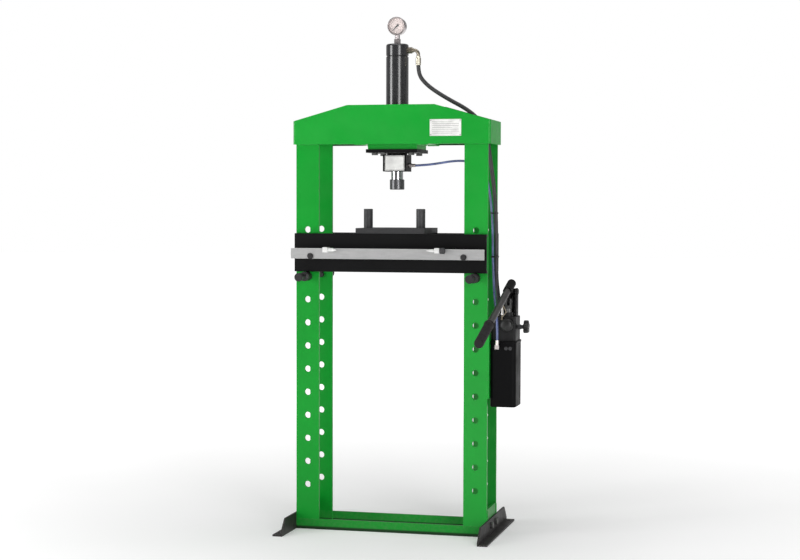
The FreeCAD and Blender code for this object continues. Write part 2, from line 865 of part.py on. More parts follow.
publish(centre_shoe("right_centre", S.right_centre_x, S.spindle_radius + S.running_gap),
        "right_centre")
knob_start, knob_end = whole(17), whole(35)
knob_radius = whole(10.5)
publish(turned("centre_spindle",
               [(ZERO, whole(-31)), (S.spindle_radius, whole(-9)), (S.spindle_radius, knob_start),
                (knob_radius - 1, knob_start), (knob_radius, knob_start + 1),
                (knob_radius, knob_end - 1), (knob_radius - 1, knob_end), (ZERO, knob_end)],
               (S.right_centre_x - S.shoe_half, -S.centre_axis_y, S.centre_axis_height), "X"),
        "centre_spindle")

# ---------------------------------------------------------------- support pins


def make_pin(name, side, face):
    """A pin through one upright: spigot inside, collar under the beam, neck and pull head outside."""
    start = S.frame_half_depth - S.upright_thick - 11
    collar_start = S.frame_half_depth + 0.4
    collar_end = S.pin_collar_end
    neck = S.pin_radius - 1
    profile = [(ZERO, start), (S.pin_radius - 1.5, start), (S.pin_radius, start + 1.5),
               (S.pin_radius, collar_start), (S.pin_collar_radius, collar_start),
               (S.pin_collar_radius, collar_end), (neck, collar_end + 4),
               (neck, S.pin_length - 16), (S.pin_head_radius - 2, S.pin_length - 14),
               (S.pin_head_radius, S.pin_length - 12), (S.pin_head_radius, S.pin_length - 3),
               (S.pin_head_radius - 3, S.pin_length), (ZERO, S.pin_length)]
    at = (hole_x * side, ZERO, S.lowest_hole + S.hole_pitch * S.pin_row)
    return publish(turned(name, profile, at, "-Y" if face < 0 else "Y"), name)


for side, side_name in ((-1, "left"), (1, "right")):
    for face, face_name in ((-1, "front"), (1, "rear")):
        make_pin(f"{face_name}_{side_name}_pin", side, face)

# ---------------------------------------------------------------- press plate

press_plate = new_body("press_plate")
plate_bottom = S.bed_top + 0.1
pad(press_plate, "XY_Plane", plate_bottom, S.plate_thick,
    rectangle(-S.plate_half_width, -S.plate_half_depth, S.plate_half_width, S.plate_half_depth))
pocket(press_plate, "XY_Plane", plate_bottom - 1, S.plate_thick + 2,
       circle(ZERO, ZERO, S.plate_hole_radius),
       circle(S.post_x, S.post_y, S.post_spigot + 0.1),
       circle(-S.post_x, S.post_y, S.post_spigot + 0.1))
publish(press_plate, "press_plate")

posts = []
plate_top = plate_bottom + S.plate_thick
for side in (-1, 1):
    posts.append(turned(f"plate_post_{len(posts)}",
                        [(ZERO, plate_bottom), (S.post_spigot, plate_bottom),
                         (S.post_spigot, plate_top),
                         (S.post_radius, plate_top), (S.post_radius, S.post_top - 1.5),
                         (S.post_radius - 1.5, S.post_top), (ZERO, S.post_top)],
                        (S.post_x * side, S.post_y, ZERO)))
publish(group("plate_posts", posts), "plate_posts")

# ---------------------------------------------------------------- hand pump

mount = new_body("pump_mount")
pad(mount, "YZ_Plane", S.frame_half_width, S.pump_plate_thick,
    rectangle(-S.frame_half_depth, S.pump_mount_bottom, S.frame_half_depth, S.pump_mount_top))
publish(mount, "pump_mount")

tank_left = S.frame_half_width + S.pump_plate_thick
tank = new_body("pump_tank")
pad(tank, "XY_Plane", S.tank_bottom, S.tank_top - S.tank_bottom,
    rectangle(tank_left, -S.tank_front, S.tank_right, S.tank_back))
round_edges(tank, "Fillet", whole(14), is_vertical)
round_edges(tank, "Fillet", whole(4), is_at_height(SIZES["tank_bottom"]))
publish(tank, "pump_tank")

pump = new_body("pump_body")
pad(pump, "XY_Plane", S.tank_top, S.pump_top - S.tank_top,
    rectangle(S.pump_left, -S.pump_front, S.pump_right, S.pump_back))
round_edges(pump, "Fillet", whole(7), is_vertical)
round_edges(pump, "Fillet", whole(2.5), is_at_height(SIZES["pump_top"]))
lug_front = S.pivot_y - S.lug_half
lug_back = S.pivot_y + S.lug_half
lug_top = S.pivot_height + 12
lug_outline = [(lug_front - 5, S.pump_top - 6), (lug_back, S.pump_top - 6),
               (lug_back, S.pivot_height), (S.pivot_y + S.lug_half * 0.5, lug_top),
               (S.pivot_y - S.lug_half * 0.5, lug_top), (lug_front, S.pivot_height)]
for side in (-1, 1):
    near = S.lever_x + S.lug_gap * side
    low_x = near if side > 0 else near - S.lug_thick
    pad(pump, "YZ_Plane", low_x, S.lug_thick, polygon(lug_outline))
# a web joins the lugs behind the lever
pad(pump, "XY_Plane", S.pump_top - 6, S.pivot_height - S.pump_top - 4,
    rectangle(S.lever_x - S.lug_gap, lug_back - 3.5, S.lever_x + S.lug_gap, lug_back))
pad(pump, "XY_Plane", S.pump_top - 4, whole(18), circle(S.lever_x, S.plunger_y, whole(14.5)))
pocket(pump, "XY_Plane", S.tank_top + 30, S.pump_top - S.tank_top,
       circle(S.lever_x, S.plunger_y, S.plunger_radius + S.running_gap))
pocket(pump, "YZ_Plane", S.lever_x - 30, whole(60),
       circle(S.pivot_y, S.pivot_height, S.pivot_radius + 0.1))
pocket(pump, "YZ_Plane", S.pump_right - 10, whole(12),
       circle(S.release_y, S.release_height, whole(5) + S.running_gap))
pocket(pump, "XZ_Plane", -(S.pump_front + 1), whole(9),
       circle(S.lever_x, S.selector_height, whole(4) + S.running_gap))
publish(pump, "pump_body")

publish(turned("lever_pivot_pin",
               [(ZERO, whole(-25)), (S.pivot_radius, whole(-25)), (S.pivot_radius, whole(23.2)),
                (whole(9.5), whole(23.2)), (whole(9.5), whole(25)), (whole(8), whole(26.5)),
                (ZERO, whole(26.5))],
               (S.lever_x, S.pivot_y, S.pivot_height), "X"), "lever_pivot_pin")

# ---------------------------------------------------------------- lever

drop = math.radians(SIZES["lever_drop"])


def along_lever(name, profile):
    """A turned piece on the lever's axis, which runs above the pivot and drops to the front."""
    rise = SIZES["lever_rise"]
    piece = turned(name, profile, (ZERO, ZERO, ZERO))
    turn = FreeCAD.Rotation(Vector(1, 0, 0), 90 + SIZES["lever_drop"])
    foot = Vector(number(S.lever_x), number(S.pivot_y) - rise * math.sin(drop),
                  number(S.pivot_height) + rise * math.cos(drop))
    piece.Placement = FreeCAD.Placement(Vector(), turn)
    place(piece, [whole(value) for value in foot])
    return piece


socket_tube = along_lever("socket_tube",
                          [(ZERO, S.lever_start), (S.socket_radius - 3, S.lever_start),
                           (S.socket_radius, S.lever_start + 3), (S.socket_radius, S.socket_end),
                           (ZERO, S.socket_end)])
ear = new_body("socket_ear")
ear_half = 4
pad(ear, "YZ_Plane", S.lever_x - ear_half, whole(ear_half * 2),
    polygon([(S.pivot_y + 8, S.pivot_height - 8), (S.pivot_y + 6, S.pivot_height + 12),
             (S.pivot_y - 52, S.pivot_height + 2), (S.pivot_y - 50, S.pivot_height - 36),
             (S.pivot_y - 44, S.pivot_height - 41), (S.pivot_y - 20, S.pivot_height - 41)]))
slot_half = 5
slot_front, slot_back = S.pivot_y - 45, S.pivot_y - 22
pocket(ear, "YZ_Plane", S.lever_x - ear_half - 1, whole(ear_half * 2 + 2),
       rectangle(slot_front, S.plunger_pin_height - slot_half,
                 slot_back, S.plunger_pin_height + slot_half))
boss = rod("socket_boss", (S.lever_x - 16, S.pivot_y, S.pivot_height), "X", 11, whole(32))
socket_solid = fuse("socket_solid", socket_tube, ear, boss)
pivot_bore = rod("pivot_bore", (S.lever_x - 20, S.pivot_y, S.pivot_height), "X",
                 S.pivot_radius + S.running_gap, whole(40))
bore_end = S.socket_end + 40
lever_bore = along_lever("lever_bore",
                         [(ZERO, S.lever_seat), (S.lever_radius, S.lever_seat),
                          (S.lever_radius, bore_end), (ZERO, bore_end)])
publish(cut("lever_socket", socket_solid, fuse("socket_bores", pivot_bore, lever_bore)),
        "lever_socket")

lever_end = S.grip_end - 14
bar_radius = S.lever_radius - 0.1
bar_start = S.lever_seat + 0.2
publish(along_lever("pump_lever",
                    [(ZERO, bar_start), (bar_radius, bar_start), (bar_radius, lever_end),
                     (ZERO, lever_end)]), "pump_lever")
grip_rim = S.grip_radius + 1.5
publish(along_lever("lever_grip",
                    [(S.lever_radius, S.grip_start), (grip_rim, S.grip_start),
                     (grip_rim, S.grip_start + 5), (S.grip_radius, S.grip_start + 8),
                     (S.grip_radius, S.grip_end - 5), (S.grip_radius - 4, S.grip_end),
                     (ZERO, S.grip_end), (ZERO, lever_end + 0.2),
                     (S.lever_radius, lever_end + 0.2)]), "lever_grip")

fork_low = S.plunger_pin_height - 26
plunger_parts = [
    rod("plunger_rod", (S.lever_x, S.plunger_y, S.tank_top + 39), "Z", S.plunger_radius,
        fork_low - S.tank_top - 38),
    box("plunger_base", (S.lever_x - 10, S.plunger_y - 9, fork_low),
        (S.lever_x + 10, S.plunger_y + 9, S.plunger_pin_height - 15)),
    rod("plunger_pin", (S.lever_x - 12, S.plunger_y, S.plunger_pin_height), "X", 4, whole(24)),
]
for side in (-1, 1):
    near = S.lever_x + (ear_half + 1) * side
    far = S.lever_x + 10 * side
    low, high = (near, far) if side > 0 else (far, near)
    plunger_parts.append(box(f"plunger_ear_{side + 1}",
                             (low, S.plunger_y - 9, S.plunger_pin_height - 16),
                             (high, S.plunger_y + 9, S.plunger_pin_height + 8)))
publish(fuse("plunger", *plunger_parts), "plunger")

# ---------------------------------------------------------------- pump knobs


def star_knob(lobe_count=5, first_angle=18, thick=18):
    """The release valve's knob: a stem, and a hub with lobes round it."""
    start = S.pump_right + S.release_reach
    collar, stem_radius = whole(8.5), whole(5)
    pieces = [rod("release_hub", (start, S.release_y, S.release_height), "X", 13, whole(thick)),
              turned("release_stem",
                     [(ZERO, whole(-8)), (stem_radius, whole(-8)), (stem_radius, whole(3)),
                      (collar, whole(3)), (collar, whole(12)), (stem_radius + 1.5, whole(14)),
                      (stem_radius + 1.5, S.release_reach), (ZERO, S.release_reach)],
                     (S.pump_right, S.release_y, S.release_height), "X")]
    ring = SIZES["release_lobe_ring"]
    for index in range(lobe_count):
        angle = math.radians(first_angle + 360 * index / lobe_count)
        at = (start, S.release_y + round(ring * math.cos(angle), 3),
              S.release_height + round(ring * math.sin(angle), 3))
        pieces.append(rod(f"release_lobe_{index}", at, "X", S.release_lobe_radius, whole(thick)))
    return fuse("release_knob", *pieces)


publish(star_knob(), "release_knob")
publish(turned("selector_knob",
               [(ZERO, whole(-7)), (whole(4), whole(-7)), (whole(4), whole(1)), (whole(14), whole(1)),
                (whole(14), whole(6)), (whole(22), whole(8)), (whole(22), whole(20)),
                (whole(19), whole(24)), (whole(12), whole(27)), (ZERO, whole(28))],
               (S.lever_x, -S.pump_front, S.selector_height), "-Y"), "selector_knob")

# ---------------------------------------------------------------- hoses and fittings


def pipe(points, radius, bend=None):
    """A round bar along straight runs joined by tangent arcs, as large as the runs allow.

    Returns the solid, its length and the arcs' radii.
    """
    places = [Vector(*at) for at in points]
    edges, radii, length = [], [], 0.0
    start = places[0]
    for before, corner, after in zip(places, places[1:], places[2:]):
        towards = (corner - before).normalize()
        away = (after - corner).normalize()
        turn = towards.getAngle(away)
        shorter = min((corner - before).Length, (after - corner).Length)
        arc_radius = bend or 0.45 * shorter / math.tan(turn / 2)
        reach = arc_radius * math.tan(turn / 2)
        first = corner - towards * reach
        last = corner + away * reach
        inward = (away - towards).normalize()
        middle = corner + inward * (arc_radius / math.cos(turn / 2) - arc_radius)
        edges.append(Part.LineSegment(start, first).toShape())
        edges.append(Part.Arc(first, middle, last).toShape())
        radii.append(arc_radius)
        length += (first - start).Length + arc_radius * turn
        start = last
    edges.append(Part.LineSegment(start, places[-1]).toShape())
    length += (places[-1] - start).Length
    path = Part.Wire(edges)
    ring = Part.Circle(places[0], (places[1] - places[0]).normalize(), radius).toShape()
    solid = path.makePipeShell([Part.Wire([ring])], True, False)
    expected = math.pi * radius ** 2 * length
    if abs(solid.Volume / expected - 1) > 0.01:
        raise SystemExit("a swept tube does not have its section times its length")
    return solid, length, radii


def feature(name, shape):
    thing = doc.addObject("Part::Feature", name)
    thing.Shape = shape
    return thing


def hose(name, points, radius):
    solid, length, radii = pipe(points, radius)
    print(f"{name}: length {length:.0f} mm, arc radii", " ".join(f"{value:.0f}" for value in radii))
    return publish(feature(name, solid), name)


low_ferrule_length = 32
pump_ferrule_top = SIZES["pump_top"] + low_ferrule_length
PRESSURE_ROUTE = [
    (SIZES["elbow_x"], 0, SIZES["ferrule_bottom"]), (75, 0, 1577), (82.5, 0, 1556), (98, 0, 1537.5),
    (121, 0, 1518), (153, 0, 1497), (190, 0, 1475.5), (228, 0, 1455.5), (262, 0, 1433),
    (289, 0, 1406), (307, 0, 1374), (317, 0, 1337), (323, 0, 1296), (330, 1, 1248),
    (338, 0, 1190), (344, 0, 1128), (347, -1, 1062), (348, 0, 990), (347.5, 1, 918),
    (350, 0, 858), (356, 0, 812), (SIZES["pump_hose_x"], 0, pump_ferrule_top),
]
union_y = SIZES["union_y"]
RETURN_ROUTE = [
    (SIZES["head_exit_x"], union_y, SIZES["return_height"]), (100, union_y, 1257.5),
    (147, 11, 1263.5), (194, 9, 1271),
    (240, 6, 1271.5), (278, 3, 1261), (304, 1, 1236), (318, 0, 1200), (326, -1, 1156),
    (331.5, -1.5, 1106),
    (335, -2.5, 1050), (336, -2, 992), (336.7, -5, 938), (340.5, -8.7, 886), (344, -17, 840),
    (350, -36, 803), (360, -64, 771), (367.5, -84, 735), (SIZES["tank_elbow_x"], -88, 700),
    (SIZES["tank_elbow_x"], -88.5, 668),
]
hose("pressure_hose", PRESSURE_ROUTE, SIZES["hose_radius"])
hose("return_hose", RETURN_ROUTE, SIZES["return_radius"])

# the elbow turns from the cap's side port down to the hose
elbow_height = SIZES["elbow_height"]
elbow_x = SIZES["elbow_x"]
ferrule_top = elbow_height - 20
bent, _, _ = pipe([(SIZES["barrel_radius"] + 14, 0, elbow_height), (elbow_x, 0, elbow_height),
                   (elbow_x, 0, ferrule_top)], 6, bend=SIZES["elbow_bend"])
port_face = S.barrel_radius - 0.6
elbow_parts = [feature("elbow_bend", bent),
               hexagon("elbow_hex", (port_face, ZERO, S.elbow_height), "X",
                       BOLT_ACROSS_FLATS, whole(14.5)),
               rod("elbow_collar", (S.barrel_radius + 13, ZERO, S.elbow_height), "X", 8, whole(5))]
publish(fuse("cylinder_elbow", *elbow_parts), "cylinder_elbow")

crimp, sleeve, nut = whole(9), whole(8.6), whole(7.5)
ferrule_length = whole(ferrule_top - SIZES["ferrule_bottom"])
top_ferrule = turned("top_ferrule",
                     [(ZERO, ZERO), (sleeve, ZERO), (sleeve, whole(4)), (crimp, whole(5)),
                      (crimp, whole(24)), (nut, whole(26)), (nut, ferrule_length),
                      (ZERO, ferrule_length)],
                     (S.elbow_x, ZERO, S.ferrule_bottom))
low_end = whole(low_ferrule_length)
low_ferrule = turned("low_ferrule",
                     [(ZERO, ZERO), (nut, ZERO), (nut, whole(8)), (crimp, whole(10)),
                      (crimp, low_end), (ZERO, low_end)],
                     (S.pump_hose_x, ZERO, S.pump_top))
publish(group("hose_ferrules", [top_ferrule, low_ferrule]), "hose_ferrules")

union_hex = whole(8)
head_union = fuse("head_union",
                  hexagon("union_hex", (S.head_half_width, S.union_y, S.return_height), "X", 13,
                          union_hex),
                  rod("union_barrel", (S.head_half_width + union_hex, S.union_y, S.return_height),
                      "X", 5.5, S.head_exit_x - S.head_half_width - union_hex))
knuckle = 7
elbow_at = (S.tank_elbow_x, whole(-88.5), S.tank_elbow_height)
knuckle_low = [value - knuckle for value in elbow_at]
knuckle_high = [value + knuckle for value in elbow_at]
tank_elbow = fuse("tank_elbow",
                  box("return_knuckle", knuckle_low, knuckle_high),
                  rod("return_nut", (elbow_at[0], elbow_at[1], knuckle_high[2]), "Z", 6, whole(16)),
                  rod("return_stub", (elbow_at[0], knuckle_high[1], elbow_at[2]), "Y", 5,
                      -S.tank_front - knuckle_high[1]))
publish(group("return_fittings", [head_union, tank_elbow]), "return_fittings")

bands = []
tie_outside, tie_inside, tie_height = 14.2, 12.8, 5
for name, at in (("upper_tie", (340.6, -1.2, 1091)), ("lower_tie", (343.6, -1.4, 943))):
    centre = [whole(value) for value in at]
    below = [centre[0], centre[1], centre[2] - 1]
    bands.append(cut(name,
                     rod(f"{name}_outside", centre, "Z", tie_outside, whole(tie_height)),
                     rod(f"{name}_inside", below, "Z", tie_inside, whole(tie_height + 2))))
publish(group("hose_ties", bands), "hose_ties")

clip_wire = 1.3
clip_plane = -(SIZES["pump_front"] + 4)
clip_corners = [(386, 786), (396, 762), (381, 741)]
wires = []
for (x0, z0), (x1, z1) in zip(clip_corners, clip_corners[1:] + clip_corners[:1]):
    near = Vector(x0, clip_plane, z0)
    run = Vector(x1, clip_plane, z1) - near
    wires.append(Part.makeCylinder(clip_wire, run.Length, near, run))
    wires.append(Part.makeSphere(clip_wire, near))
stud_at = Vector(381, -SIZES["pump_front"], 738)
stud = Part.makeCylinder(3.2, 6, stud_at, Vector(0, -1, 0))
publish(feature("lever_clip", wires[0].multiFuse(wires[1:] + [stud])), "lever_clip")

# ---------------------------------------------------------------- checks and files

doc.recompute()
for thing in doc.Objects:
    if {"Invalid", "Error"} & set(thing.State):
        raise SystemExit(f"{thing.Name} did not compute: {thing.State}")
for feature_cut in CUTS:
    if feature_cut.BaseFeature.Shape.Volume - feature_cut.Shape.Volume < 1:
        raise SystemExit(f"{feature_cut.Name} cuts nothing")
for thing in NODES:
    if thing.Shape.isNull() or not thing.Shape.isValid() or not thing.Shape.Solids:
        raise SystemExit(f"{thing.Label} has no valid solid")

os.makedirs("parts", exist_ok=True)
for thing in NODES:
    thing.Shape.exportStep(f"parts/{thing.Label}.step")
print(len(NODES), "pieces written")
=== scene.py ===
"""Looks of the hydraulic shop press: camera, light, materials, hoses and small trim."""
import math

import bmesh
import bpy
from mathutils import Matrix, Vector


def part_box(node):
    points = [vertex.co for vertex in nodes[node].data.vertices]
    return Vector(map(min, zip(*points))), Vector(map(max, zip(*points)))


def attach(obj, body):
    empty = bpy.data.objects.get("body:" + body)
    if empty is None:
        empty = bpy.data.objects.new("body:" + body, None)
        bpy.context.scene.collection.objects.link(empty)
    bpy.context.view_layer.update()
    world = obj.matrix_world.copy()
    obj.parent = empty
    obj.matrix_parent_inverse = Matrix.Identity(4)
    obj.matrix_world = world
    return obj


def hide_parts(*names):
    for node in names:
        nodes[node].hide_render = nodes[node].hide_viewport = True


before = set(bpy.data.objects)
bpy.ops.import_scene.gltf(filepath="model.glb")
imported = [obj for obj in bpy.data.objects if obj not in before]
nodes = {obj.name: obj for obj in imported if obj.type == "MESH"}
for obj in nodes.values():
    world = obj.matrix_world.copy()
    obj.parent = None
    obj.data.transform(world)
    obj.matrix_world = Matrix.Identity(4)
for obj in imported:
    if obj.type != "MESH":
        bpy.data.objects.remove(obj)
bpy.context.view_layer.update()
MM = 0.001
SHARP_EDGE = 50


# ---------------------------------------------------------------- small tools

def link(thing):
    bpy.context.scene.collection.objects.link(thing)
    return thing


def millimetres(points):
    return [Vector(point) * MM for point in points]


def mesh_piece(name, mesh, body, material, smooth=True):
    """A mesh becomes a piece that rides on a body and takes its finish from a slot."""
    piece = link(bpy.data.objects.new(name, mesh))
    mesh.materials.append(material)
    if smooth:
        mesh.shade_smooth()
    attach(piece, body)
    return piece


def finished(name, builder, body, material, smooth=True):
    """The same, from a bmesh."""
    mesh = bpy.data.meshes.new(name)
    bmesh.ops.recalc_face_normals(builder, faces=builder.faces)
    builder.to_mesh(mesh)
    builder.free()
    return mesh_piece(name, mesh, body, material, smooth)


def add_bevel(piece, width):
    """A rounded edge, in millimetres, wherever two faces meet sharply."""
    bevel = piece.modifiers.new("edge", "BEVEL")
    bevel.width = width * MM
    bevel.segments = 2
    bevel.limit_method = "ANGLE"
    bevel.angle_limit = math.radians(SHARP_EDGE)
    bevel.harden_normals = True


# ---------------------------------------------------------------- camera

CAMERA_AT = (1.4913, -5.9034, 1.1286)
LOOK_DOWN, ROLL, TURN = 2.507, -0.124, 14.083
SENSOR, LENS = 36, 79.56


def make_camera():
    camera = link(bpy.data.objects.new("camera", bpy.data.cameras.new("camera")))
    camera.data.sensor_width = SENSOR
    camera.data.lens = LENS
    camera.location = CAMERA_AT
    camera.rotation_euler = [math.radians(angle) for angle in (90 - LOOK_DOWN, ROLL, TURN)]
    camera.data.clip_end = 100
    bpy.context.scene.camera = camera


make_camera()


# ---------------------------------------------------------------- node helpers

class Look:
    """A Principled material, with helpers for the textures that feed it."""

    def __init__(self, name, **sockets):
        self.material = bpy.data.materials.new(name)
        self.material.use_nodes = True
        self.tree = self.material.node_tree
        self.shader = self.tree.nodes["Principled BSDF"]
        for socket, value in sockets.items():
            self.shader.inputs[socket.replace("_", " ")].default_value = value
        self.place = self.tree.nodes.new("ShaderNodeTexCoord").outputs["Object"]

    def node(self, kind, **inputs):
        made = self.tree.nodes.new(kind)
        for socket, value in inputs.items():
            self.feed(made.inputs[socket.replace("_", " ")], value)
        return made

    def feed(self, socket, value):
        if isinstance(value, bpy.types.NodeSocket):
            self.tree.links.new(value, socket)
        else:
            socket.default_value = value

    def set(self, socket, value):
        self.feed(self.shader.inputs[socket], value)

    def stretched(self, scale):
        """Object coordinates, in metres, times a scale on each axis."""
        mapping = self.node("ShaderNodeMapping", Vector=self.place)
        mapping.inputs["Scale"].default_value = scale
        return mapping.outputs["Vector"]

    def noise(self, scale, detail=4.0, roughness=0.55, vector=None):
        made = self.node("ShaderNodeTexNoise", Vector=vector or self.place, Scale=float(scale),
                         Detail=detail, Roughness=roughness)
        return made.outputs["Fac"]

    def spread(self, value, low, high, to_low=0.0, to_high=1.0):
        """The part of a value between low and high, spread over a new range."""
        made = self.node("ShaderNodeMapRange", Value=value)
        for socket, number in (("From Min", low), ("From Max", high), ("To Min", to_low),
                               ("To Max", to_high)):
            made.inputs[socket].default_value = number
        return made.outputs["Result"]

    def math(self, operation, first, second=0.0):
        made = self.tree.nodes.new("ShaderNodeMath")
        made.operation = operation
        self.feed(made.inputs[0], first)
        self.feed(made.inputs[1], second)
        return made.outputs[0]

    def mix(self, factor, first, second):
        """A colour between two colours."""
        made = self.tree.nodes.new("ShaderNodeMix")
        made.data_type = "RGBA"
        for socket, value in (("Factor_Float", factor), ("A_Color", first), ("B_Color", second)):
            self.feed(next(item for item in made.inputs if item.identifier == socket), value)
        return next(item for item in made.outputs if item.identifier == "Result_Color")

    def edges(self, width, low=0.012, high=0.09):
        """About 1 along convex and concave edges, and 0 on flat faces."""
        rounded = self.node("ShaderNodeBevel")
        rounded.samples = 6
        rounded.inputs["Radius"].default_value = width * MM
        true_normal = self.node("ShaderNodeNewGeometry").outputs["Normal"]
        turn = self.tree.nodes.new("ShaderNodeVectorMath")
        turn.operation = "DOT_PRODUCT"
        self.feed(turn.inputs[0], rounded.outputs["Normal"])
        self.feed(turn.inputs[1], true_normal)
        return self.spread(self.math("SUBTRACT", 1.0, turn.outputs["Value"]), low, high)

    def height(self):
        """Height above the floor, in metres."""
        return self.node("ShaderNodeSeparateXYZ", Vector=self.place).outputs["Z"]

    def inside(self, depth, width, level):
        """1 nearer the middle than a depth and a width, in metres, and below a level, else 0."""
        axes = self.node("ShaderNodeSeparateXYZ", Vector=self.place)
        deep = self.spread(self.math("ABSOLUTE", axes.outputs["Y"]), depth, depth - 0.001)
        wide = self.spread(self.math("ABSOLUTE", axes.outputs["X"]), width, width - 0.001)
        low = self.spread(axes.outputs["Z"], level, level - 0.010)
        return self.math("MULTIPLY", self.math("MULTIPLY", deep, wide), low)

    def bump(self, value, depth, strength=1.0, under=None):
        """Relief of a depth in millimetres, on top of any relief given."""
        made = self.node("ShaderNodeBump", Height=value)
        made.inputs["Strength"].default_value = strength
        made.inputs["Distance"].default_value = depth * MM
        if under is not None:
            self.feed(made.inputs["Normal"], under)
        return made.outputs["Normal"]


def rgb(red, green, blue):
    """Linear colour from the usual 0 to 255 screen values."""
    def linear(value):
        value /= 255
        return value / 12.92 if value <= 0.04045 else ((value + 0.055) / 1.055) ** 2.4
    return (linear(red), linear(green), linear(blue), 1.0)


def shade(colour, factor):
    return tuple(min(1.0, value * factor) for value in colour[:3]) + (1.0,)


# ---------------------------------------------------------------- materials

def paint(name, colour, roughness=0.35, peel=0.02, wear=0.5, under=(0.30, 0.30, 0.31, 1.0),
          dust=0.0, coat=0.0, drift=0.10, gloss=0.5, shadow=0.0, coat_rough=0.12, floor_shade=0.0,
          ior=1.5, depth=0.0785, width=1.0, level=9.0, deepest=0.35):
    """Sprayed paint: drifting tone, orange peel, chips on the edges and dust near the floor.

    A painted shadow darkens what lies inside a depth and a width and below a level, in metres,
    and a painted floor shade darkens the lowest 8.5 to 12.5 mm towards near black.
    """
    look = Look(name, Specular_IOR_Level=gloss, Coat_Weight=coat, Coat_Roughness=coat_rough,
                IOR=ior)
    cloud = look.noise(3.2, 3.0)
    mottle = look.noise(46, 5.0)
    tone = look.mix(look.spread(cloud, 0.3, 0.7), shade(colour, 1 - drift),
                    shade(colour, 1 + drift * 0.7))
    tone = look.mix(look.spread(mottle, 0.35, 0.75, 0.0, 0.25), tone, shade(colour, 0.86))
    chips = None
    if wear:
        chip_noise = look.noise(240, 4.0, 0.7)
        flakes = look.spread(chip_noise, 0.60 - wear * 0.08, 0.66 - wear * 0.05)
        chips = look.math("MULTIPLY", look.edges(1.6), flakes)
        tone = look.mix(chips, tone, under)
        patches = look.spread(look.noise(30, 3.0), 0.35, 0.8, 0.0, 0.35)
        tone = look.mix(look.math("MULTIPLY", look.edges(3.5), patches), tone, shade(colour, 1.5))
    if dust:
        low = look.spread(look.height(), 0.32, 0.0)
        fine = look.spread(look.noise(95, 6.0, 0.7), 0.38, 0.72)
        tone = look.mix(look.math("MULTIPLY", look.math("MULTIPLY", low, fine), dust), tone,
                        (0.20, 0.18, 0.15, 1.0))
    # painted shade: near black below 8.5 mm, fading out by 12.5 mm, where shade falls at the floor
    if floor_shade:
        tone = look.mix(look.spread(look.height(), 0.0125, 0.0085, 0.0, floor_shade), tone,
                        (0.004, 0.006, 0.004, 1.0))
    # painted shadow: darker inside a depth and a width and below a level
    if shadow:
        tone = look.mix(look.math("MULTIPLY", look.inside(depth, width, level), shadow), tone,
                        shade(colour, deepest))
    look.set("Base Color", tone)
    rough = look.spread(look.noise(14, 4.0), 0.3, 0.7, roughness - 0.06, roughness + 0.10)
    peeling = look.bump(look.noise(620, 2.0), peel)
    if wear:
        rough = look.math("ADD", rough, look.math("MULTIPLY", chips, 0.2))
        look.set("Metallic", look.math("MULTIPLY", chips, 0.7))
        peeling = look.bump(chips, 0.05, 0.6, peeling)
    look.set("Roughness", rough)
    look.set("Normal", peeling)
    return look.material


def steel(name, colour, roughness=0.3, grain=(1, 1, 1), grain_scale=500, stain=0.3, relief=0.012,
          metallic=1.0, edge_light=0.6, low_colour=None):
    """Bare steel with grain along one axis, stains and rubbed bright edges."""
    look = Look(name, Metallic=metallic)
    along = look.stretched(grain)
    lines = look.noise(grain_scale, 3.0, 0.6, along)
    patch = look.noise(18, 5.0, 0.65)
    tone = look.mix(look.spread(lines, 0.3, 0.7), shade(colour, 0.86), shade(colour, 1.12))
    tone = look.mix(look.spread(patch, 0.45, 0.75, 0.0, stain), tone, shade(colour, 0.45))
    if low_colour:
        tone = look.mix(look.spread(look.height(), 1.1, 0.9), tone, low_colour)
    worn = look.math("MULTIPLY", look.edges(1.4), edge_light)
    tone = look.mix(worn, tone, shade(colour, 1.9))
    look.set("Base Color", tone)
    rough = look.spread(patch, 0.3, 0.75, roughness - 0.05, roughness + 0.16)
    look.set("Roughness", look.math("ADD", rough, look.spread(lines, 0.3, 0.7, -0.04, 0.06)))
    look.set("Normal", look.bump(lines, relief))
    return look.material


def moulded(name, colour, roughness=0.45, grain=0.04, grain_scale=900, rubbed=0.25, gloss=0.5):
    """Moulded plastic or rubber: fine grain, dull patches and edges rubbed lighter."""
    look = Look(name, Specular_IOR_Level=gloss)
    cloud = look.noise(22, 4.0)
    tone = look.mix(look.spread(cloud, 0.3, 0.7), shade(colour, 0.8), shade(colour, 1.25))
    tone = look.mix(look.math("MULTIPLY", look.edges(1.5), rubbed), tone,
                    tuple(value + 0.10 for value in colour[:3]) + (1.0,))
    look.set("Base Color", tone)
    look.set("Roughness", look.spread(look.noise(60, 4.0), 0.3, 0.7, roughness - 0.08,
                                      roughness + 0.1))
    look.set("Normal", look.bump(look.noise(grain_scale, 2.0), grain))
    return look.material


def hose_skin(name, colour, roughness, wrap):
    """Extruded hose: dull patches, and the fine marks of the cloth it was cured in."""
    look = Look(name)
    cloud = look.noise(35, 4.0)
    tone = look.mix(look.spread(cloud, 0.3, 0.7), shade(colour, 0.75), shade(colour, 1.35))
    look.set("Base Color", tone)
    look.set("Roughness", look.spread(look.noise(80, 3.0), 0.3, 0.7, roughness - 0.06,
                                      roughness + 0.1))
    cloth = look.node("ShaderNodeTexVoronoi", Vector=look.place, Scale=520.0).outputs["Distance"]
    look.set("Normal", look.bump(cloth, wrap))
    return look.material


GREEN = (0.0035, 0.315, 0.026, 1.0)

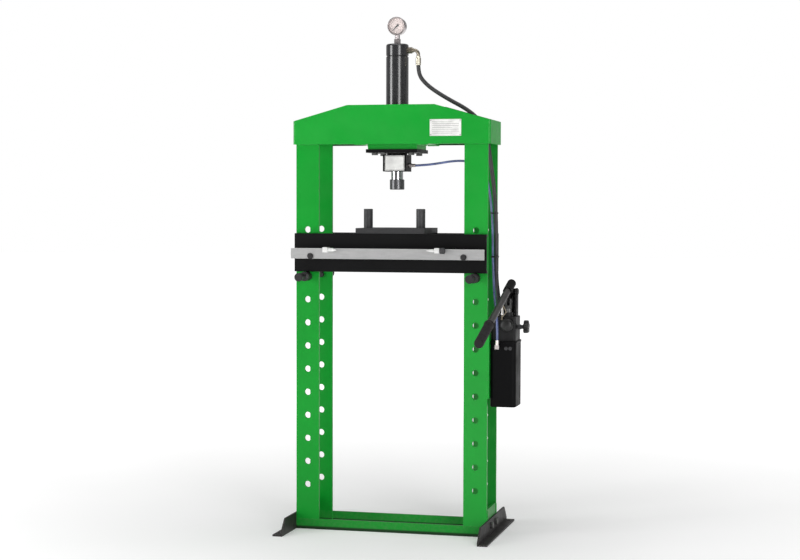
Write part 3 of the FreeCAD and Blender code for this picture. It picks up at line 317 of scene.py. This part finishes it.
green_paint = paint("green_paint", GREEN, roughness=0.34, coat=0.1, wear=0.35, gloss=0.3)
# painted shade: the left uprights are 7 % darker than the rest, with a little painted shadow on their
# inside faces
green_shaded_left = paint("green_paint_shaded_left", shade(GREEN, 0.93), roughness=0.38, coat=0.04, wear=0.35,
                   gloss=0.18, shadow=0.12)
# painted shadow: the crown's inside faces between the columns go near black in their lowest 10 to 20
# mm
green_shaded_crown = paint("green_paint_shaded_crown", GREEN, roughness=0.34, coat=0.1, wear=0.35, gloss=0.3,
                    shadow=0.9, depth=0.0875, width=0.325, level=1.345, deepest=0.08)
# painted shadow: the right uprights' inside faces are darkened
green_shaded_right = paint("green_paint_shaded_right", GREEN, roughness=0.34, coat=0.1, wear=0.35, gloss=0.3,
                    shadow=0.6)
# painted shade: the base bars and side plates are 16 % darker, and near black just above the floor;
# the dust is real
green_shaded_low = paint("green_paint_shaded_low", shade(GREEN, 0.84), roughness=0.38, wear=0.5, dust=0.15,
                  gloss=0.25, floor_shade=0.9)
bed_paint = paint("bed_paint", rgb(11, 11, 12), roughness=0.42, wear=0.7,
                  under=(0.20, 0.20, 0.21, 1.0), drift=0.2, gloss=0.13)
foot_paint = paint("foot_paint", rgb(36, 36, 37), roughness=0.5, wear=0.8, dust=0.2, drift=0.2,
                   gloss=0.25)
cylinder_paint = paint("cylinder_paint", rgb(38, 38, 40), roughness=0.24, wear=0.0, coat=0.8,
                       peel=0.001, coat_rough=0.16)
pump_paint = paint("pump_paint", rgb(14, 14, 15), roughness=0.44, wear=0.3, peel=0.02, gloss=0.2,
                   ior=1.25)
cast_paint = paint("cast_paint", rgb(26, 26, 27), roughness=0.5, wear=0.7, peel=0.10, gloss=0.25)
LONG_X, LONG_Z = (0.02, 1, 1), (1, 1, 0.05)

chrome = steel("chrome_rod", (0.62, 0.63, 0.65, 1), 0.09, grain=(1, 1, 0.01), grain_scale=900,
               stain=0.05, relief=0.002, edge_light=0.2)
rail_metal = steel("rail_metal", (0.45, 0.45, 0.45, 1), 0.40, grain=LONG_X, grain_scale=900,
                   stain=0.18, relief=0.010, metallic=0.75)
block_metal = steel("block_metal", (0.82, 0.82, 0.81, 1), 0.42, stain=0.2, relief=0.01, metallic=0.6)
bright_metal = steel("bright_metal", (0.50, 0.50, 0.50, 1), 0.20, grain=LONG_X, grain_scale=900,
                     stain=0.25, relief=0.006)
dark_metal = steel("dark_metal", (0.060, 0.060, 0.063, 1), 0.48, grain_scale=320, stain=0.5,
                   relief=0.03, metallic=0.6, edge_light=0.4)
plate_metal = steel("plate_metal", (0.040, 0.040, 0.042, 1), 0.50, grain=(0.05, 1, 1),
                    grain_scale=420, stain=0.5, relief=0.02, metallic=0.5, edge_light=0.4)
pin_metal = steel("pin_metal", (0.030, 0.029, 0.031, 1), 0.45, grain_scale=320, stain=0.4,
                  relief=0.03, metallic=0.5, edge_light=0.5)
nose_metal = steel("nose_metal", (0.12, 0.12, 0.125, 1), 0.26, grain=(1, 1, 0.02), grain_scale=700,
                   stain=0.3, relief=0.01, metallic=0.9)
zinc = steel("zinc", (0.42, 0.42, 0.40, 1), 0.35, grain_scale=400, relief=0.01)
dull_zinc = steel("dull_zinc", (0.16, 0.16, 0.155, 1), 0.40, grain_scale=400, stain=0.4, relief=0.01)
fitting_metal = steel("fitting_metal", (0.66, 0.60, 0.58, 1), 0.30, grain_scale=400, relief=0.006)
plunger_metal = steel("plunger_metal", (0.10, 0.10, 0.10, 1), 0.30, grain=(1, 1, 0.03),
                      grain_scale=600, stain=0.4, relief=0.01)
wire_metal = steel("wire_metal", (0.30, 0.26, 0.20, 1), 0.35, stain=0.4, relief=0.006)
lever_metal = steel("lever_metal", (0.10, 0.096, 0.096, 1), 0.36, grain=(1, 0.02, 0.02),
                    grain_scale=800, stain=0.35, metallic=0.85)
gauge_metal = steel("gauge_metal", (0.50, 0.46, 0.46, 1), 0.27, stain=0.2, relief=0.006)
brass = steel("brass", (0.30, 0.265, 0.21, 1), 0.32, grain=LONG_Z, stain=0.4, relief=0.008)
ferrule_metal = steel("ferrule_metal", (0.62, 0.58, 0.47, 1), 0.25, grain=LONG_Z, relief=0.006,
                      low_colour=(0.06, 0.058, 0.055, 1))
grip_rubber = moulded("grip_rubber", (0.014, 0.012, 0.013, 1), 0.62, grain=0.05, grain_scale=1200,
                      rubbed=0.12, gloss=0.2)
knob_plastic = moulded("knob_plastic", (0.012, 0.012, 0.012, 1), 0.36, grain=0.02, grain_scale=1400,
                       rubbed=0.15, gloss=0.35)
tie_plastic = moulded("tie_plastic", (0.012, 0.012, 0.012, 1), 0.4, grain=0.01, grain_scale=1500,
                      rubbed=0.2)
hose_rubber = hose_skin("hose_rubber", (0.030, 0.030, 0.031, 1), 0.5, 0.10)
blue_nylon = hose_skin("blue_nylon", (0.095, 0.12, 0.26, 1), 0.3, 0.01)
dial_paint = moulded("dial_paint", (0.70, 0.60, 0.575, 1), 0.6, grain=0.004, rubbed=0.0)
dial_ink = moulded("dial_ink", (0.36, 0.29, 0.27, 1), 0.5, grain=0.004, rubbed=0.0)
ink = moulded("ink", (0.02, 0.02, 0.02, 1), 0.5, grain=0.004, rubbed=0.0)
label_stock = moulded("label_stock", (0.70, 0.70, 0.68, 1), 0.35, grain=0.004, rubbed=0.0)


def glass_material():
    """Thin flat glass: nearly clear, with gloss and faint smears."""
    look = Look("gauge_glass", Base_Color=(0.9, 0.92, 0.92, 1), Alpha=0.05, IOR=1.45)
    look.set("Roughness", look.spread(look.noise(40, 3.0), 0.4, 0.8, 0.03, 0.12))
    look.material.surface_render_method = "BLENDED"
    return look.material


glass = glass_material()

FINISHES = {
    green_paint: "crown_base_plate mounting_pad pump_mount",
    green_shaded_crown: "crown_front crown_rear",
    green_shaded_left: "front_left_upright rear_left_upright",
    green_shaded_right: "front_right_upright rear_right_upright",
    green_shaded_low: "front_base_bar rear_base_bar left_side_plate right_side_plate",
    bed_paint: "bed_front_beam bed_rear_beam bed_ties cylinder_flange head_block",
    foot_paint: "left_foot right_foot",
    cylinder_paint: "cylinder_barrel cylinder_cap",
    pump_paint: "pump_tank lever_socket",
    cast_paint: "pump_body",
    chrome: "ram_rod",
    rail_metal: "centre_rail",
    bright_metal: "centre_spindle piston",
    block_metal: "left_centre right_centre",
    plunger_metal: "plunger lever_pivot_pin",
    fitting_metal: "return_fittings",
    wire_metal: "lever_clip",
    dark_metal: "plate_posts",
    plate_metal: "press_plate",
    pin_metal: "front_left_pin front_right_pin rear_left_pin rear_right_pin rail_bolts",
    nose_metal: "ram_nose",
    dull_zinc: "flange_bolts foot_bolts",
    lever_metal: "pump_lever",
    gauge_metal: "gauge_case",
    dial_paint: "gauge_dial",
    ink: "gauge_needle",
    glass: "gauge_lens",
    brass: "cylinder_elbow",
    ferrule_metal: "hose_ferrules",
    hose_rubber: "pressure_hose",
    blue_nylon: "return_hose",
    tie_plastic: "hose_ties",
    label_stock: "rating_plate head_label",
    grip_rubber: "lever_grip",
    knob_plastic: "release_knob selector_knob",
}


def finish_nodes():
    for material, names in FINISHES.items():
        for name in names.split():
            node = nodes[name]
            node.data.materials.clear()
            node.data.materials.append(material)


finish_nodes()

# ---------------------------------------------------------------- turned and swept trim

def axes_at(origin, along, side=None):
    """Millimetres to metres, with the local Z along a direction."""
    z = Vector(along).normalized()
    side = side or ((1, 0, 0) if abs(z.x) < 0.9 else (0, 1, 0))
    x = Vector(side)
    x = (x - z * x.dot(z)).normalized()
    y = z.cross(x)
    turn = Matrix((x, y, z)).transposed().to_4x4()
    return Matrix.Translation(Vector(origin) * MM) @ turn @ Matrix.Scale(MM, 4)


def add_turned(builder, profile, place, segments=48, lobe=None):
    """A body of revolution from (radius, along) pairs, closed on the axis or back on itself."""
    rings = []
    for radius, along in profile:
        if radius < 1e-6:
            rings.append([builder.verts.new(place @ Vector((0, 0, along)))])
            continue
        ring = []
        for index in range(segments):
            angle = 2 * math.pi * index / segments
            reach = lobe(radius, angle) if lobe else radius
            at = Vector((reach * math.cos(angle), reach * math.sin(angle), along))
            ring.append(builder.verts.new(place @ at))
        rings.append(ring)
    pairs = list(zip(rings, rings[1:]))
    if len(rings[0]) > 1 or len(rings[-1]) > 1:
        pairs.append((rings[-1], rings[0]))
    for first, second in pairs:
        for index in range(segments):
            follow = (index + 1) % segments
            corners = []
            for ring, step in ((first, index), (first, follow), (second, follow), (second, index)):
                corner = ring[step % len(ring)]
                if corner not in corners:
                    corners.append(corner)
            if len(corners) > 2:
                builder.faces.new(corners)


def turned(name, profile, place, body, material, segments=48, lobe=None, crease=35):
    builder = bmesh.new()
    add_turned(builder, profile, place, segments, lobe)
    piece = finished(name, builder, body, material)
    piece.data.set_sharp_from_angle(angle=math.radians(crease))
    return piece


def add_block(builder, low, high, edge=0.0):
    """A box between two corners, in millimetres, with its edges cut off.

    It is made apart and then added, because a bevel frees places that whatever is made next in the
    same bmesh takes in no fixed order.
    """
    block = bmesh.new()
    bmesh.ops.create_cube(block, size=1.0)
    low, high = Vector(low), Vector(high)
    for vertex in block.verts:
        at = vertex.co + Vector((0.5, 0.5, 0.5))
        vertex.co = Vector([low[i] + (high[i] - low[i]) * at[i] for i in range(3)]) * MM
    if edge:
        bmesh.ops.bevel(block, geom=list(block.edges), offset=edge * MM, segments=2, profile=0.7,
                        affect="EDGES")
    mesh = bpy.data.meshes.new("block")
    block.to_mesh(mesh)
    block.free()
    builder.from_mesh(mesh)
    bpy.data.meshes.remove(mesh)


def add_bead(builder, points, radius, ripple, segments=8):
    """A closed tube along points in millimetres, with the ripples of a weld."""
    path = [Vector(point) for point in points]
    rings = []
    for index, at in enumerate(path):
        before = path[max(index - 1, 0)]
        after = path[min(index + 1, len(path) - 1)]
        along = (after - before).normalized()
        side = along.cross(Vector((0.123, 0.456, 0.881))).normalized()
        up = along.cross(side)
        swell = 1 + ripple * (index % 2 * 2 - 1)
        if index in (0, len(path) - 1):
            swell *= 0.55
        ring = []
        for step in range(segments):
            angle = 2 * math.pi * step / segments
            reach = side * math.cos(angle) + up * math.sin(angle)
            ring.append(builder.verts.new((at + reach * radius * swell) * MM))
        rings.append(ring)
    for first, second in zip(rings, rings[1:]):
        for step in range(segments):
            follow = (step + 1) % segments
            builder.faces.new((first[step], first[follow], second[follow], second[step]))
    builder.faces.new(rings[0][::-1])
    builder.faces.new(rings[-1])


def walk(corners, step):
    """Evenly spaced points along straight runs between corners."""
    points = []
    for start, end in zip(corners, corners[1:]):
        start, end = Vector(start), Vector(end)
        count = max(2, round((end - start).length / step))
        points += [start.lerp(end, index / count) for index in range(count)]
    return points + [Vector(corners[-1])]


# ---------------------------------------------------------------- welds

def make_welds():
    """Beads where the crown, pad, base and pump plate meet the uprights."""
    under_crown, outer_face, inner_face = 1326.4, 86.6, 77.5
    inner_x, outer_x = 254, 336
    pad_x, pad_y, plate_x, shelf = 86.5, 68.5, 129, 700.6
    runs = []
    for side in (-1, 1):
        for face in (-1, 1):
            runs.append([(side * (inner_x + 2), face * outer_face, under_crown),
                         (side * (outer_x - 2), face * outer_face, under_crown)])
            runs.append([(side * inner_x, face * 78, 1.5), (side * inner_x, face * 78, 36)])
            runs.append([(side * outer_x, face * inner_face, 2),
                         (side * outer_x, face * inner_face, 90)])
    corners = ((-1, -1), (1, -1), (1, 1), (-1, 1), (-1, -1))
    runs.append([(x * pad_x, y * pad_y, under_crown) for x, y in corners])
    for face in (-1, 1):
        runs.append([(outer_x, face * 84.5, shelf), (outer_x, face * inner_face, shelf)])
        runs.append([(-plate_x, face * 86, under_crown), (-87, face * 86, under_crown)])
        runs.append([(87, face * 86, under_crown), (plate_x, face * 86, under_crown)])
    builder = bmesh.new()
    for run in runs:
        add_bead(builder, walk(run, 1.7), 2.4, 0.10)
    finished("frame_welds", builder, "frame", green_paint)


make_welds()


# ---------------------------------------------------------------- plates and labels

def make_rating_plate():
    """A printed plate of ruled lines, with four rivets."""
    low, high = (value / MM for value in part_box("rating_plate"))
    face = low.y
    builder = bmesh.new()
    rows = 7
    for row in range(rows):
        level = low.z + 9 + row * (high.z - low.z - 18) / (rows - 1)
        right = high.x - 8 if row % 3 else high.x - 30
        add_block(builder, (low.x + 8, face - 0.12, level - 0.35),
                  (right, face + 0.2, level + 0.35))
    finished("plate_print", builder, "frame", ink, smooth=False)
    builder = bmesh.new()
    for x in (low.x + 3.5, high.x - 3.5):
        for z in (low.z + 3.5, high.z - 3.5):
            add_turned(builder, [(0, -0.5), (2.1, -0.5), (2.1, 0.25), (1.7, 0.8), (0.9, 1.15),
                                 (0, 1.25)], axes_at((x, face, z), (0, -1, 0)), 20)
    finished("plate_rivets", builder, "frame", zinc)


def make_head_label():
    """A blank label's border."""
    low, high = (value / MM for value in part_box("head_label"))
    face = low.y
    builder = bmesh.new()
    rim, wide = 2.0, 0.8
    left, right = low.x + rim, high.x - rim
    bottom, top = low.z + rim, high.z - rim
    for x0, x1, z0, z1 in ((left, right, bottom, bottom + wide), (left, right, top - wide, top),
                           (left, left + wide, bottom + wide, top - wide),
                           (right - wide, right, bottom + wide, top - wide)):
        add_block(builder, (x0, face - 0.1, z0), (x1, face + 0.2, z1))
    finished("label_border", builder, "frame", ink, smooth=False)


make_rating_plate()
make_head_label()


# ---------------------------------------------------------------- gauge

def make_needle(centre, face):
    """A flat pointer at zero, with a round tail, and a boss over its spindle."""
    angle = math.radians(225)
    out = Vector((math.cos(angle), 0, math.sin(angle)))
    across = Vector((-out.z, 0, out.x))
    half = [(-9.0, 1.0), (-8.2, 2.8), (-6.4, 3.7), (-4.4, 3.2), (-2.6, 2.4), (0, 2.3), (6, 2.0),
            (13, 1.5), (19.5, 1.0), (21, 0.2)]
    outline = [(along, -wide) for along, wide in half] + [(along, wide) for along, wide in half[::-1]]
    builder = bmesh.new()
    sheets = []
    for depth in (-1.2, -2.0):
        origin = Vector((centre.x, face + depth, centre.z))
        sheets.append([builder.verts.new((origin + out * along + across * wide) * MM)
                       for along, wide in outline])
    builder.faces.new(sheets[0])
    builder.faces.new(sheets[1][::-1])
    for index in range(len(outline)):
        follow = (index + 1) % len(outline)
        builder.faces.new((sheets[0][index], sheets[0][follow], sheets[1][follow], sheets[1][index]))
    add_turned(builder, [(0, 0.2), (3.0, 0.2), (3.0, 2.4), (2.4, 3.0), (0, 3.1)],
               axes_at((centre.x, face, centre.z), (0, -1, 0)), 32)
    pointer = finished("dial_pointer", builder, "pointer", ink, smooth=False)
    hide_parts("gauge_needle")


def make_gauge():
    low, high = (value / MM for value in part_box("gauge_dial"))
    centre = (low + high) / 2
    face = low.y
    builder = bmesh.new()
    sweep, start = 270, 225
    for index in range(61):
        major = index % 10 == 0
        medium = index % 5 == 0
        angle = math.radians(start - sweep * index / 60)
        inner = 19.4 if major else 20.6 if medium else 21.6
        wide = 0.32 if major else 0.2
        out = Vector((math.cos(angle), 0, math.sin(angle)))
        across = Vector((-out.z, 0, out.x))
        corners = []
        for depth in (-0.12, 0.05):
            for along, side in ((inner, -wide), (23.6, -wide), (23.6, wide), (inner, wide)):
                at = Vector((centre.x, face + depth, centre.z)) + out * along + across * side
                corners.append(builder.verts.new(at * MM))
        for quad in ((0, 1, 2, 3), (7, 6, 5, 4), (0, 4, 5, 1), (1, 5, 6, 2), (2, 6, 7, 3),
                     (3, 7, 4, 0)):
            builder.faces.new([corners[corner] for corner in quad])
    finished("dial_ticks", builder, "frame", dial_ink, smooth=False)
    for index in range(7):
        angle = math.radians(start - sweep * index / 6)
        text = bpy.data.curves.new(f"dial_number_{index}", "FONT")
        text.body = str(index * 10)
        text.size = 3.4 * MM
        text.align_x = "CENTER"
        text.align_y = "CENTER"
        text.extrude = 0.06 * MM
        text.materials.append(dial_ink)
        piece = link(bpy.data.objects.new(f"dial_number_{index}", text))
        piece.location = (centre + Vector((math.cos(angle) * 15.6, 0, math.sin(angle) * 15.6))) * MM
        piece.location.y = (face - 0.05) * MM
        piece.rotation_euler = (math.radians(90), 0, 0)
        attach(piece, "frame")
    make_needle(centre, face)
    turned("gauge_rim", [(29.6, -1.5), (31.2, -1.5), (31.4, 0.4), (30.8, 1.3), (29.4, 1.6),
                         (27.7, 1.2), (27.2, 0.2), (27.2, -2.2), (28.2, -2.2)],
           axes_at((centre.x, -16, centre.z), (0, -1, 0)), "frame", gauge_metal, 96)


make_gauge()


# ---------------------------------------------------------------- cylinder

def make_cap_ring():
    """A dark ring that fills the groove between barrel and cap."""
    low, high = (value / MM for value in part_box("cylinder_barrel"))
    level = high.z
    turned("cap_ring", [(33.5, 0.3), (35.2, 0.3), (35.8, 1.2), (35.8, 2.8), (35.2, 3.7), (33.5, 3.7)],
           axes_at((0, 0, level), (0, 0, 1)), "frame", tie_plastic, 96)


make_cap_ring()


# ---------------------------------------------------------------- lever, knobs and ties

LEVER_DROP = math.radians(16.4)
PIVOT_X, PIVOT_Y, PIVOT_Z, LEVER_OFFSET = 400, -4, 828, 23
LEVER_FOOT = (PIVOT_X, PIVOT_Y - LEVER_OFFSET * math.sin(LEVER_DROP),
              PIVOT_Z + LEVER_OFFSET * math.cos(LEVER_DROP))
LEVER_AXIS = axes_at(LEVER_FOOT, (0, -math.cos(LEVER_DROP), -math.sin(LEVER_DROP)))


def make_grip():
    """A rubber grip with a flared end, and ribs between two plain bands."""
    outside = [(11.42, 388), (16.6, 388), (17.1, 389), (17.1, 392.4), (16.4, 393.4), (15.6, 394.6),
               (15.6, 400)]
    along = 400.0
    while along < 545:
        outside += [(15.6, along), (15.6, along + 3.4), (14.5, along + 4.1), (14.5, along + 5.4)]
        along += 6.0
    outside += [(15.6, along), (15.7, 556), (15.0, 559.6), (13.2, 561.6), (9.0, 562), (0, 562)]
    inside = [(0, 548.2), (11.42, 548.2)]
    grip = turned("ribbed_grip", outside + inside, LEVER_AXIS, "lever", grip_rubber, 64)
    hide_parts("lever_grip")


def star(radius, angle):
    """Five round lobes round a knob."""
    wave = 0.5 + 0.5 * math.cos(5 * angle)
    return radius * (0.70 + 0.30 * wave ** 0.8)


def make_knobs():
    low, high = (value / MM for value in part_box("release_knob"))
    centre = (low + high) / 2
    thick = 18
    outer = high.x
    place = axes_at((outer - thick, centre.y, centre.z), (1, 0, 0),
                    (0, math.cos(math.radians(18)), math.sin(math.radians(18))))
    body = turned("star_knob",
                  [(0, 0), (13, 0), (20.3, 0.6), (22.4, 2.2), (23, 4.6), (23, 13), (22.4, 15.6),
                   (20.4, 17.3), (13, 17.9), (9.4, 17.9), (8.8, 16.8), (0, 16.8)],
                  place, "release_valve", knob_plastic, 100, star, 50)
    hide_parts("release_knob")
    stem = turned("valve_stem",
                  [(0, 0), (5, 0), (5, 11), (8.0, 11), (8.5, 11.5), (8.5, 19.5), (8.0, 20),
                   (6.8, 21), (6.8, 24), (6.2, 24.5), (6.2, 26), (6.8, 26.5), (6.8, 30.5), (0, 30.5)],
                  axes_at((low.x, centre.y, centre.z), (1, 0, 0)), "release_valve", dark_metal,
                  48)
    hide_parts("release_knob")

    low, high = (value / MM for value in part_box("selector_knob"))
    centre = (low + high) / 2

    def fluted(radius, angle):
        return radius - (0.7 * max(0.0, math.cos(20 * angle)) ** 3 if radius > 20.5 else 0.0)

    knob = turned("domed_knob",
                  [(0, 0), (4, 0), (4, 8), (13.6, 8), (14, 8.5), (14, 12.6), (20, 14.4), (21.8, 15.4),
                   (22, 16.6), (22, 26.2), (21.2, 28.2), (19, 30.6), (16, 32.4), (12, 33.9),
                   (6, 34.8), (0, 35)],
                  axes_at((centre.x, high.y, centre.z), (0, -1, 0)), "selector", knob_plastic,
                  160, fluted, 40)
    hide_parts("selector_knob")


def ridges(angle):
    """36 sharp grooves round a rim."""
    return abs(math.cos(18 * angle)) ** 6


def make_spindle():
    """The right centre's bright spindle and its dark knurled knob."""
    low, high = (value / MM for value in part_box("centre_spindle"))
    centre = (low + high) / 2
    place = axes_at((low.x, centre.y, centre.z), (1, 0, 0))
    point = turned("spindle_point",
                   [(0, 0), (0.6, 0.5), (5, 22), (5, 26), (4.4, 26.8), (4.4, 28.2), (5, 29), (5, 50),
                    (0, 50)], place, "spindle", block_metal, 40)
    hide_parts("centre_spindle")

    def knurled(radius, angle):
        return radius - (0.45 * ridges(angle) if radius > 10 else 0.0)

    knob = turned("spindle_knob",
                  [(0, 48.2), (8.6, 48.2), (9.3, 49), (10.4, 50.4), (10.4, 62.4), (9.5, 64.4),
                   (7.7, 65.6), (4, 65.8), (3.6, 65.1), (0, 65.1)],
                  place, "spindle", dark_metal, 144, knurled, 50)
    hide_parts("centre_spindle")


def make_ties():
    """Two nylon ties round both hoses, each with its head and cut tail."""
    builder = bmesh.new()
    for x, y, z in ((340.6, -1.2, 1093.5), (343.6, -1.4, 945.5)):
        add_turned(builder, [(12.8, -2.3), (13.7, -2.4), (13.9, -2.0), (13.9, 2.0), (13.7, 2.4),
                             (12.8, 2.3)], axes_at((x, y, z), (0, 0, 1)), 48)
        add_block(builder, (x + 5.5, y - 15.6, z - 3.2), (x + 10.5, y - 11.0, z + 3.2), 0.7)
        add_block(builder, (x + 7.4, y - 19.0, z - 2.0), (x + 8.6, y - 15.0, z + 2.0), 0.4)
    ties = finished("nylon_ties", builder, "frame", tie_plastic)
    ties.data.set_sharp_from_angle(angle=math.radians(35))
    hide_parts("hose_ties")


make_grip()
make_knobs()
make_spindle()
make_ties()


# ---------------------------------------------------------------- tank and small hardware

def make_tank_trim():
    """The lid's pressed rim, and two socket plugs on the pump's front."""
    low, high = (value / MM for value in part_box("pump_tank"))
    builder = bmesh.new()
    radius = 14.0
    rim = []
    centres = ((high.x - radius, high.y - radius, 0), (low.x + radius, high.y - radius, 90),
               (low.x + radius, low.y + radius, 180), (high.x - radius, low.y + radius, 270))
    for x, y, first in centres:
        for step in range(9):
            angle = math.radians(first + step * 90 / 8)
            rim.append((x, y, math.cos(angle), math.sin(angle)))
    loops = []
    for out, z in ((-1.5, -7.0), (1.0, -7.0), (1.5, -6.4), (1.5, -0.6), (0.9, 0.2), (-1.5, 0.2)):
        reach = radius + out
        loops.append([builder.verts.new(Vector((x + cx * reach, y + cy * reach, high.z + z)) * MM)
                      for x, y, cx, cy in rim])
    for first, second in zip(loops, loops[1:] + loops[:1]):
        for step in range(len(rim)):
            follow = (step + 1) % len(rim)
            builder.faces.new((first[step], first[follow], second[follow], second[step]))
    lid = finished("tank_lid_rim", builder, "frame", pump_paint)
    lid.data.set_sharp_from_angle(angle=math.radians(40))

    builder = bmesh.new()
    for x in (397, 411):
        place = axes_at((x, low.y, 640), (0, -1, 0))
        add_turned(builder, [(0, -1), (6.4, -1), (6.4, 0.9), (5.9, 1.4), (0, 1.4)], place, 32)
        add_turned(builder, [(0, 1.2), (4.6, 1.2), (4.6, 3.6), (4.1, 4.1), (2.4, 4.1), (2.2, 2.6),
                             (0, 2.6)], place, 6)
    plugs = finished("tank_plugs", builder, "frame", dark_metal)
    plugs.data.set_sharp_from_angle(angle=math.radians(35))


def make_washers():
    builder = bmesh.new()
    flat = [(5.4, 0), (11.6, 0), (12, 0.4), (12, 1.4), (11.6, 1.8), (5.4, 1.8)]
    for side in (-1, 1):
        for face in (-1, 1):
            add_turned(builder, flat, axes_at((side * 341.5, face * 40, 34), (side, 0, 0)), 36)
    washers = finished("foot_washers", builder, "frame", dark_metal)
    washers.data.set_sharp_from_angle(angle=math.radians(35))


make_tank_trim()
make_washers()


# ---------------------------------------------------------------- softened edges

EDGES = {
    0.8: ("front_left_upright front_right_upright rear_left_upright rear_right_upright "
          "front_base_bar rear_base_bar left_foot right_foot pump_mount crown_base_plate "
          "mounting_pad cylinder_flange left_side_plate right_side_plate press_plate head_block"),
    0.5: "foot_bolts flange_bolts left_centre right_centre centre_rail plate_posts ram_nose",
}


def soften_edges():
    """A narrow rounded edge on each plate and bolt, which catches the light as a real one does."""
    for width, names in EDGES.items():
        for name in names.split():
            add_bevel(nodes[name], width)


soften_edges()

# ---------------------------------------------------------------- hoses

PRESSURE_ROUTE = [
    (74, 0, 1598), (75, 0, 1577), (82.5, 0, 1556), (98, 0, 1537.5), (121, 0, 1518), (153, 0, 1497),
    (190, 0, 1475.5), (228, 0, 1455.5), (262, 0, 1433), (289, 0, 1406), (307, 0, 1374),
    (317, 0, 1337), (323, 0, 1296), (330, 1, 1248), (338, 0, 1190), (344, 0, 1128),
    (347, -1, 1062), (348, 0, 990), (347.5, 1, 918), (350, 0, 858), (356, 0, 812), (358, 0, 778),
]
RETURN_ROUTE = [
    (62, 12, 1256), (100, 12, 1257.5), (147, 11, 1263.5), (194, 9, 1271), (240, 6, 1271.5),
    (278, 3, 1261), (304, 1, 1236), (318, 0, 1200), (326, -1, 1156), (331.5, -1.5, 1106),
    (335, -2.5, 1050), (336, -2, 992), (336.7, -5, 938), (340.5, -8.7, 886), (344, -17, 840),
    (350, -36, 803), (360, -64, 771), (367.5, -84, 735), (369.5, -88, 700), (369.5, -88.5, 668),
]


def hose(name, route, diameter, material):
    """A hose from one fitting to another, on one smooth curve."""
    curve = bpy.data.curves.new(name, "CURVE")
    curve.dimensions = "3D"
    spline = curve.splines.new("NURBS")
    spline.points.add(len(route) - 1)
    for point, at in zip(spline.points, millimetres(route)):
        point.co = (*at, 1.0)
    spline.order_u = 3
    spline.use_endpoint_u = True
    spline.resolution_u = 12
    curve.bevel_depth = diameter * MM / 2
    curve.bevel_resolution = 6
    curve.use_fill_caps = True
    piece = link(bpy.data.objects.new(name, curve))
    curve.materials.append(material)
    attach(piece, "frame")
    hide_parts(name.replace("_line", "_hose"))


hose("pressure_line", PRESSURE_ROUTE, 14, hose_rubber)
hose("return_line", RETURN_ROUTE, 8, blue_nylon)


# ---------------------------------------------------------------- floor and light

def make_floor():
    builder = bmesh.new()
    bmesh.ops.create_grid(builder, x_segments=1, y_segments=1, size=30)
    mesh = bpy.data.meshes.new("floor")
    builder.to_mesh(mesh)
    builder.free()
    look = Look("floor", Roughness=0.7)
    look.set("Base Color", look.mix(look.spread(look.noise(1.5, 3.0), 0.3, 0.7),
                                    (0.86, 0.86, 0.86, 1), (0.90, 0.90, 0.90, 1)))
    # the floor glows white, faintly near the press and more further off, so the far floor fades into
    # the white of the studio
    away = look.node("ShaderNodeVectorMath", Vector=look.place)
    away.operation = "LENGTH"
    look.shader.inputs["Emission Color"].default_value = (1, 1, 1, 1)
    look.set("Emission Strength", look.spread(away.outputs["Value"], 0.5, 4.0, 0.16, 0.85))
    mesh.materials.append(look.material)
    link(bpy.data.objects.new("floor", mesh))


def soft_box(name, at, target, width, height, power):
    light = bpy.data.lights.new(name, "AREA")
    light.shape = "RECTANGLE"
    light.size = width
    light.size_y = height
    light.energy = power
    thing = link(bpy.data.objects.new(name, light))
    thing.location = at
    thing.rotation_euler = (Vector(target) - Vector(at)).to_track_quat("-Z", "Y").to_euler()
    thing.visible_camera = False


def make_world():
    """A white studio: bright behind the object, dimmer in front, where its dark gloss looks."""
    world = bpy.data.worlds.new("world")
    bpy.context.scene.world = world
    world.use_nodes = True
    tree = world.node_tree
    place = tree.nodes.new("ShaderNodeTexCoord")
    axes = tree.nodes.new("ShaderNodeSeparateXYZ")
    tree.links.new(place.outputs["Generated"], axes.inputs[0])
    front_to_back = tree.nodes.new("ShaderNodeMapRange")
    for socket, value in (("From Min", -0.5), ("From Max", 0.6), ("To Min", 0.10), ("To Max", 0.36)):
        front_to_back.inputs[socket].default_value = value
    tree.links.new(axes.outputs["Y"], front_to_back.inputs["Value"])
    seen = tree.nodes.new("ShaderNodeLightPath")
    strength = tree.nodes.new("ShaderNodeMix")
    tree.links.new(seen.outputs["Is Camera Ray"], strength.inputs["Factor"])
    tree.links.new(front_to_back.outputs["Result"], strength.inputs["A"])
    strength.inputs["B"].default_value = 1.0
    background = tree.nodes["Background"]
    background.inputs["Color"].default_value = (1, 1, 1, 1)
    tree.links.new(strength.outputs["Result"], background.inputs["Strength"])


def make_light():
    make_world()
    bpy.context.scene.view_settings.view_transform = "Standard"
    middle = (0, 0, 1.1)
    soft_box("left_strip", (-4.33, -3.39, 1.6), middle, width=1.8, height=2.8, power=122)
    soft_box("right_strip", (3.15, -4.50, 1.6), middle, width=1.7, height=3.4, power=108)
    soft_box("overhead", (0.0, -0.5, 5.2), (0, 0, 0), width=5.0, height=5.0, power=132)


make_floor()
make_light()
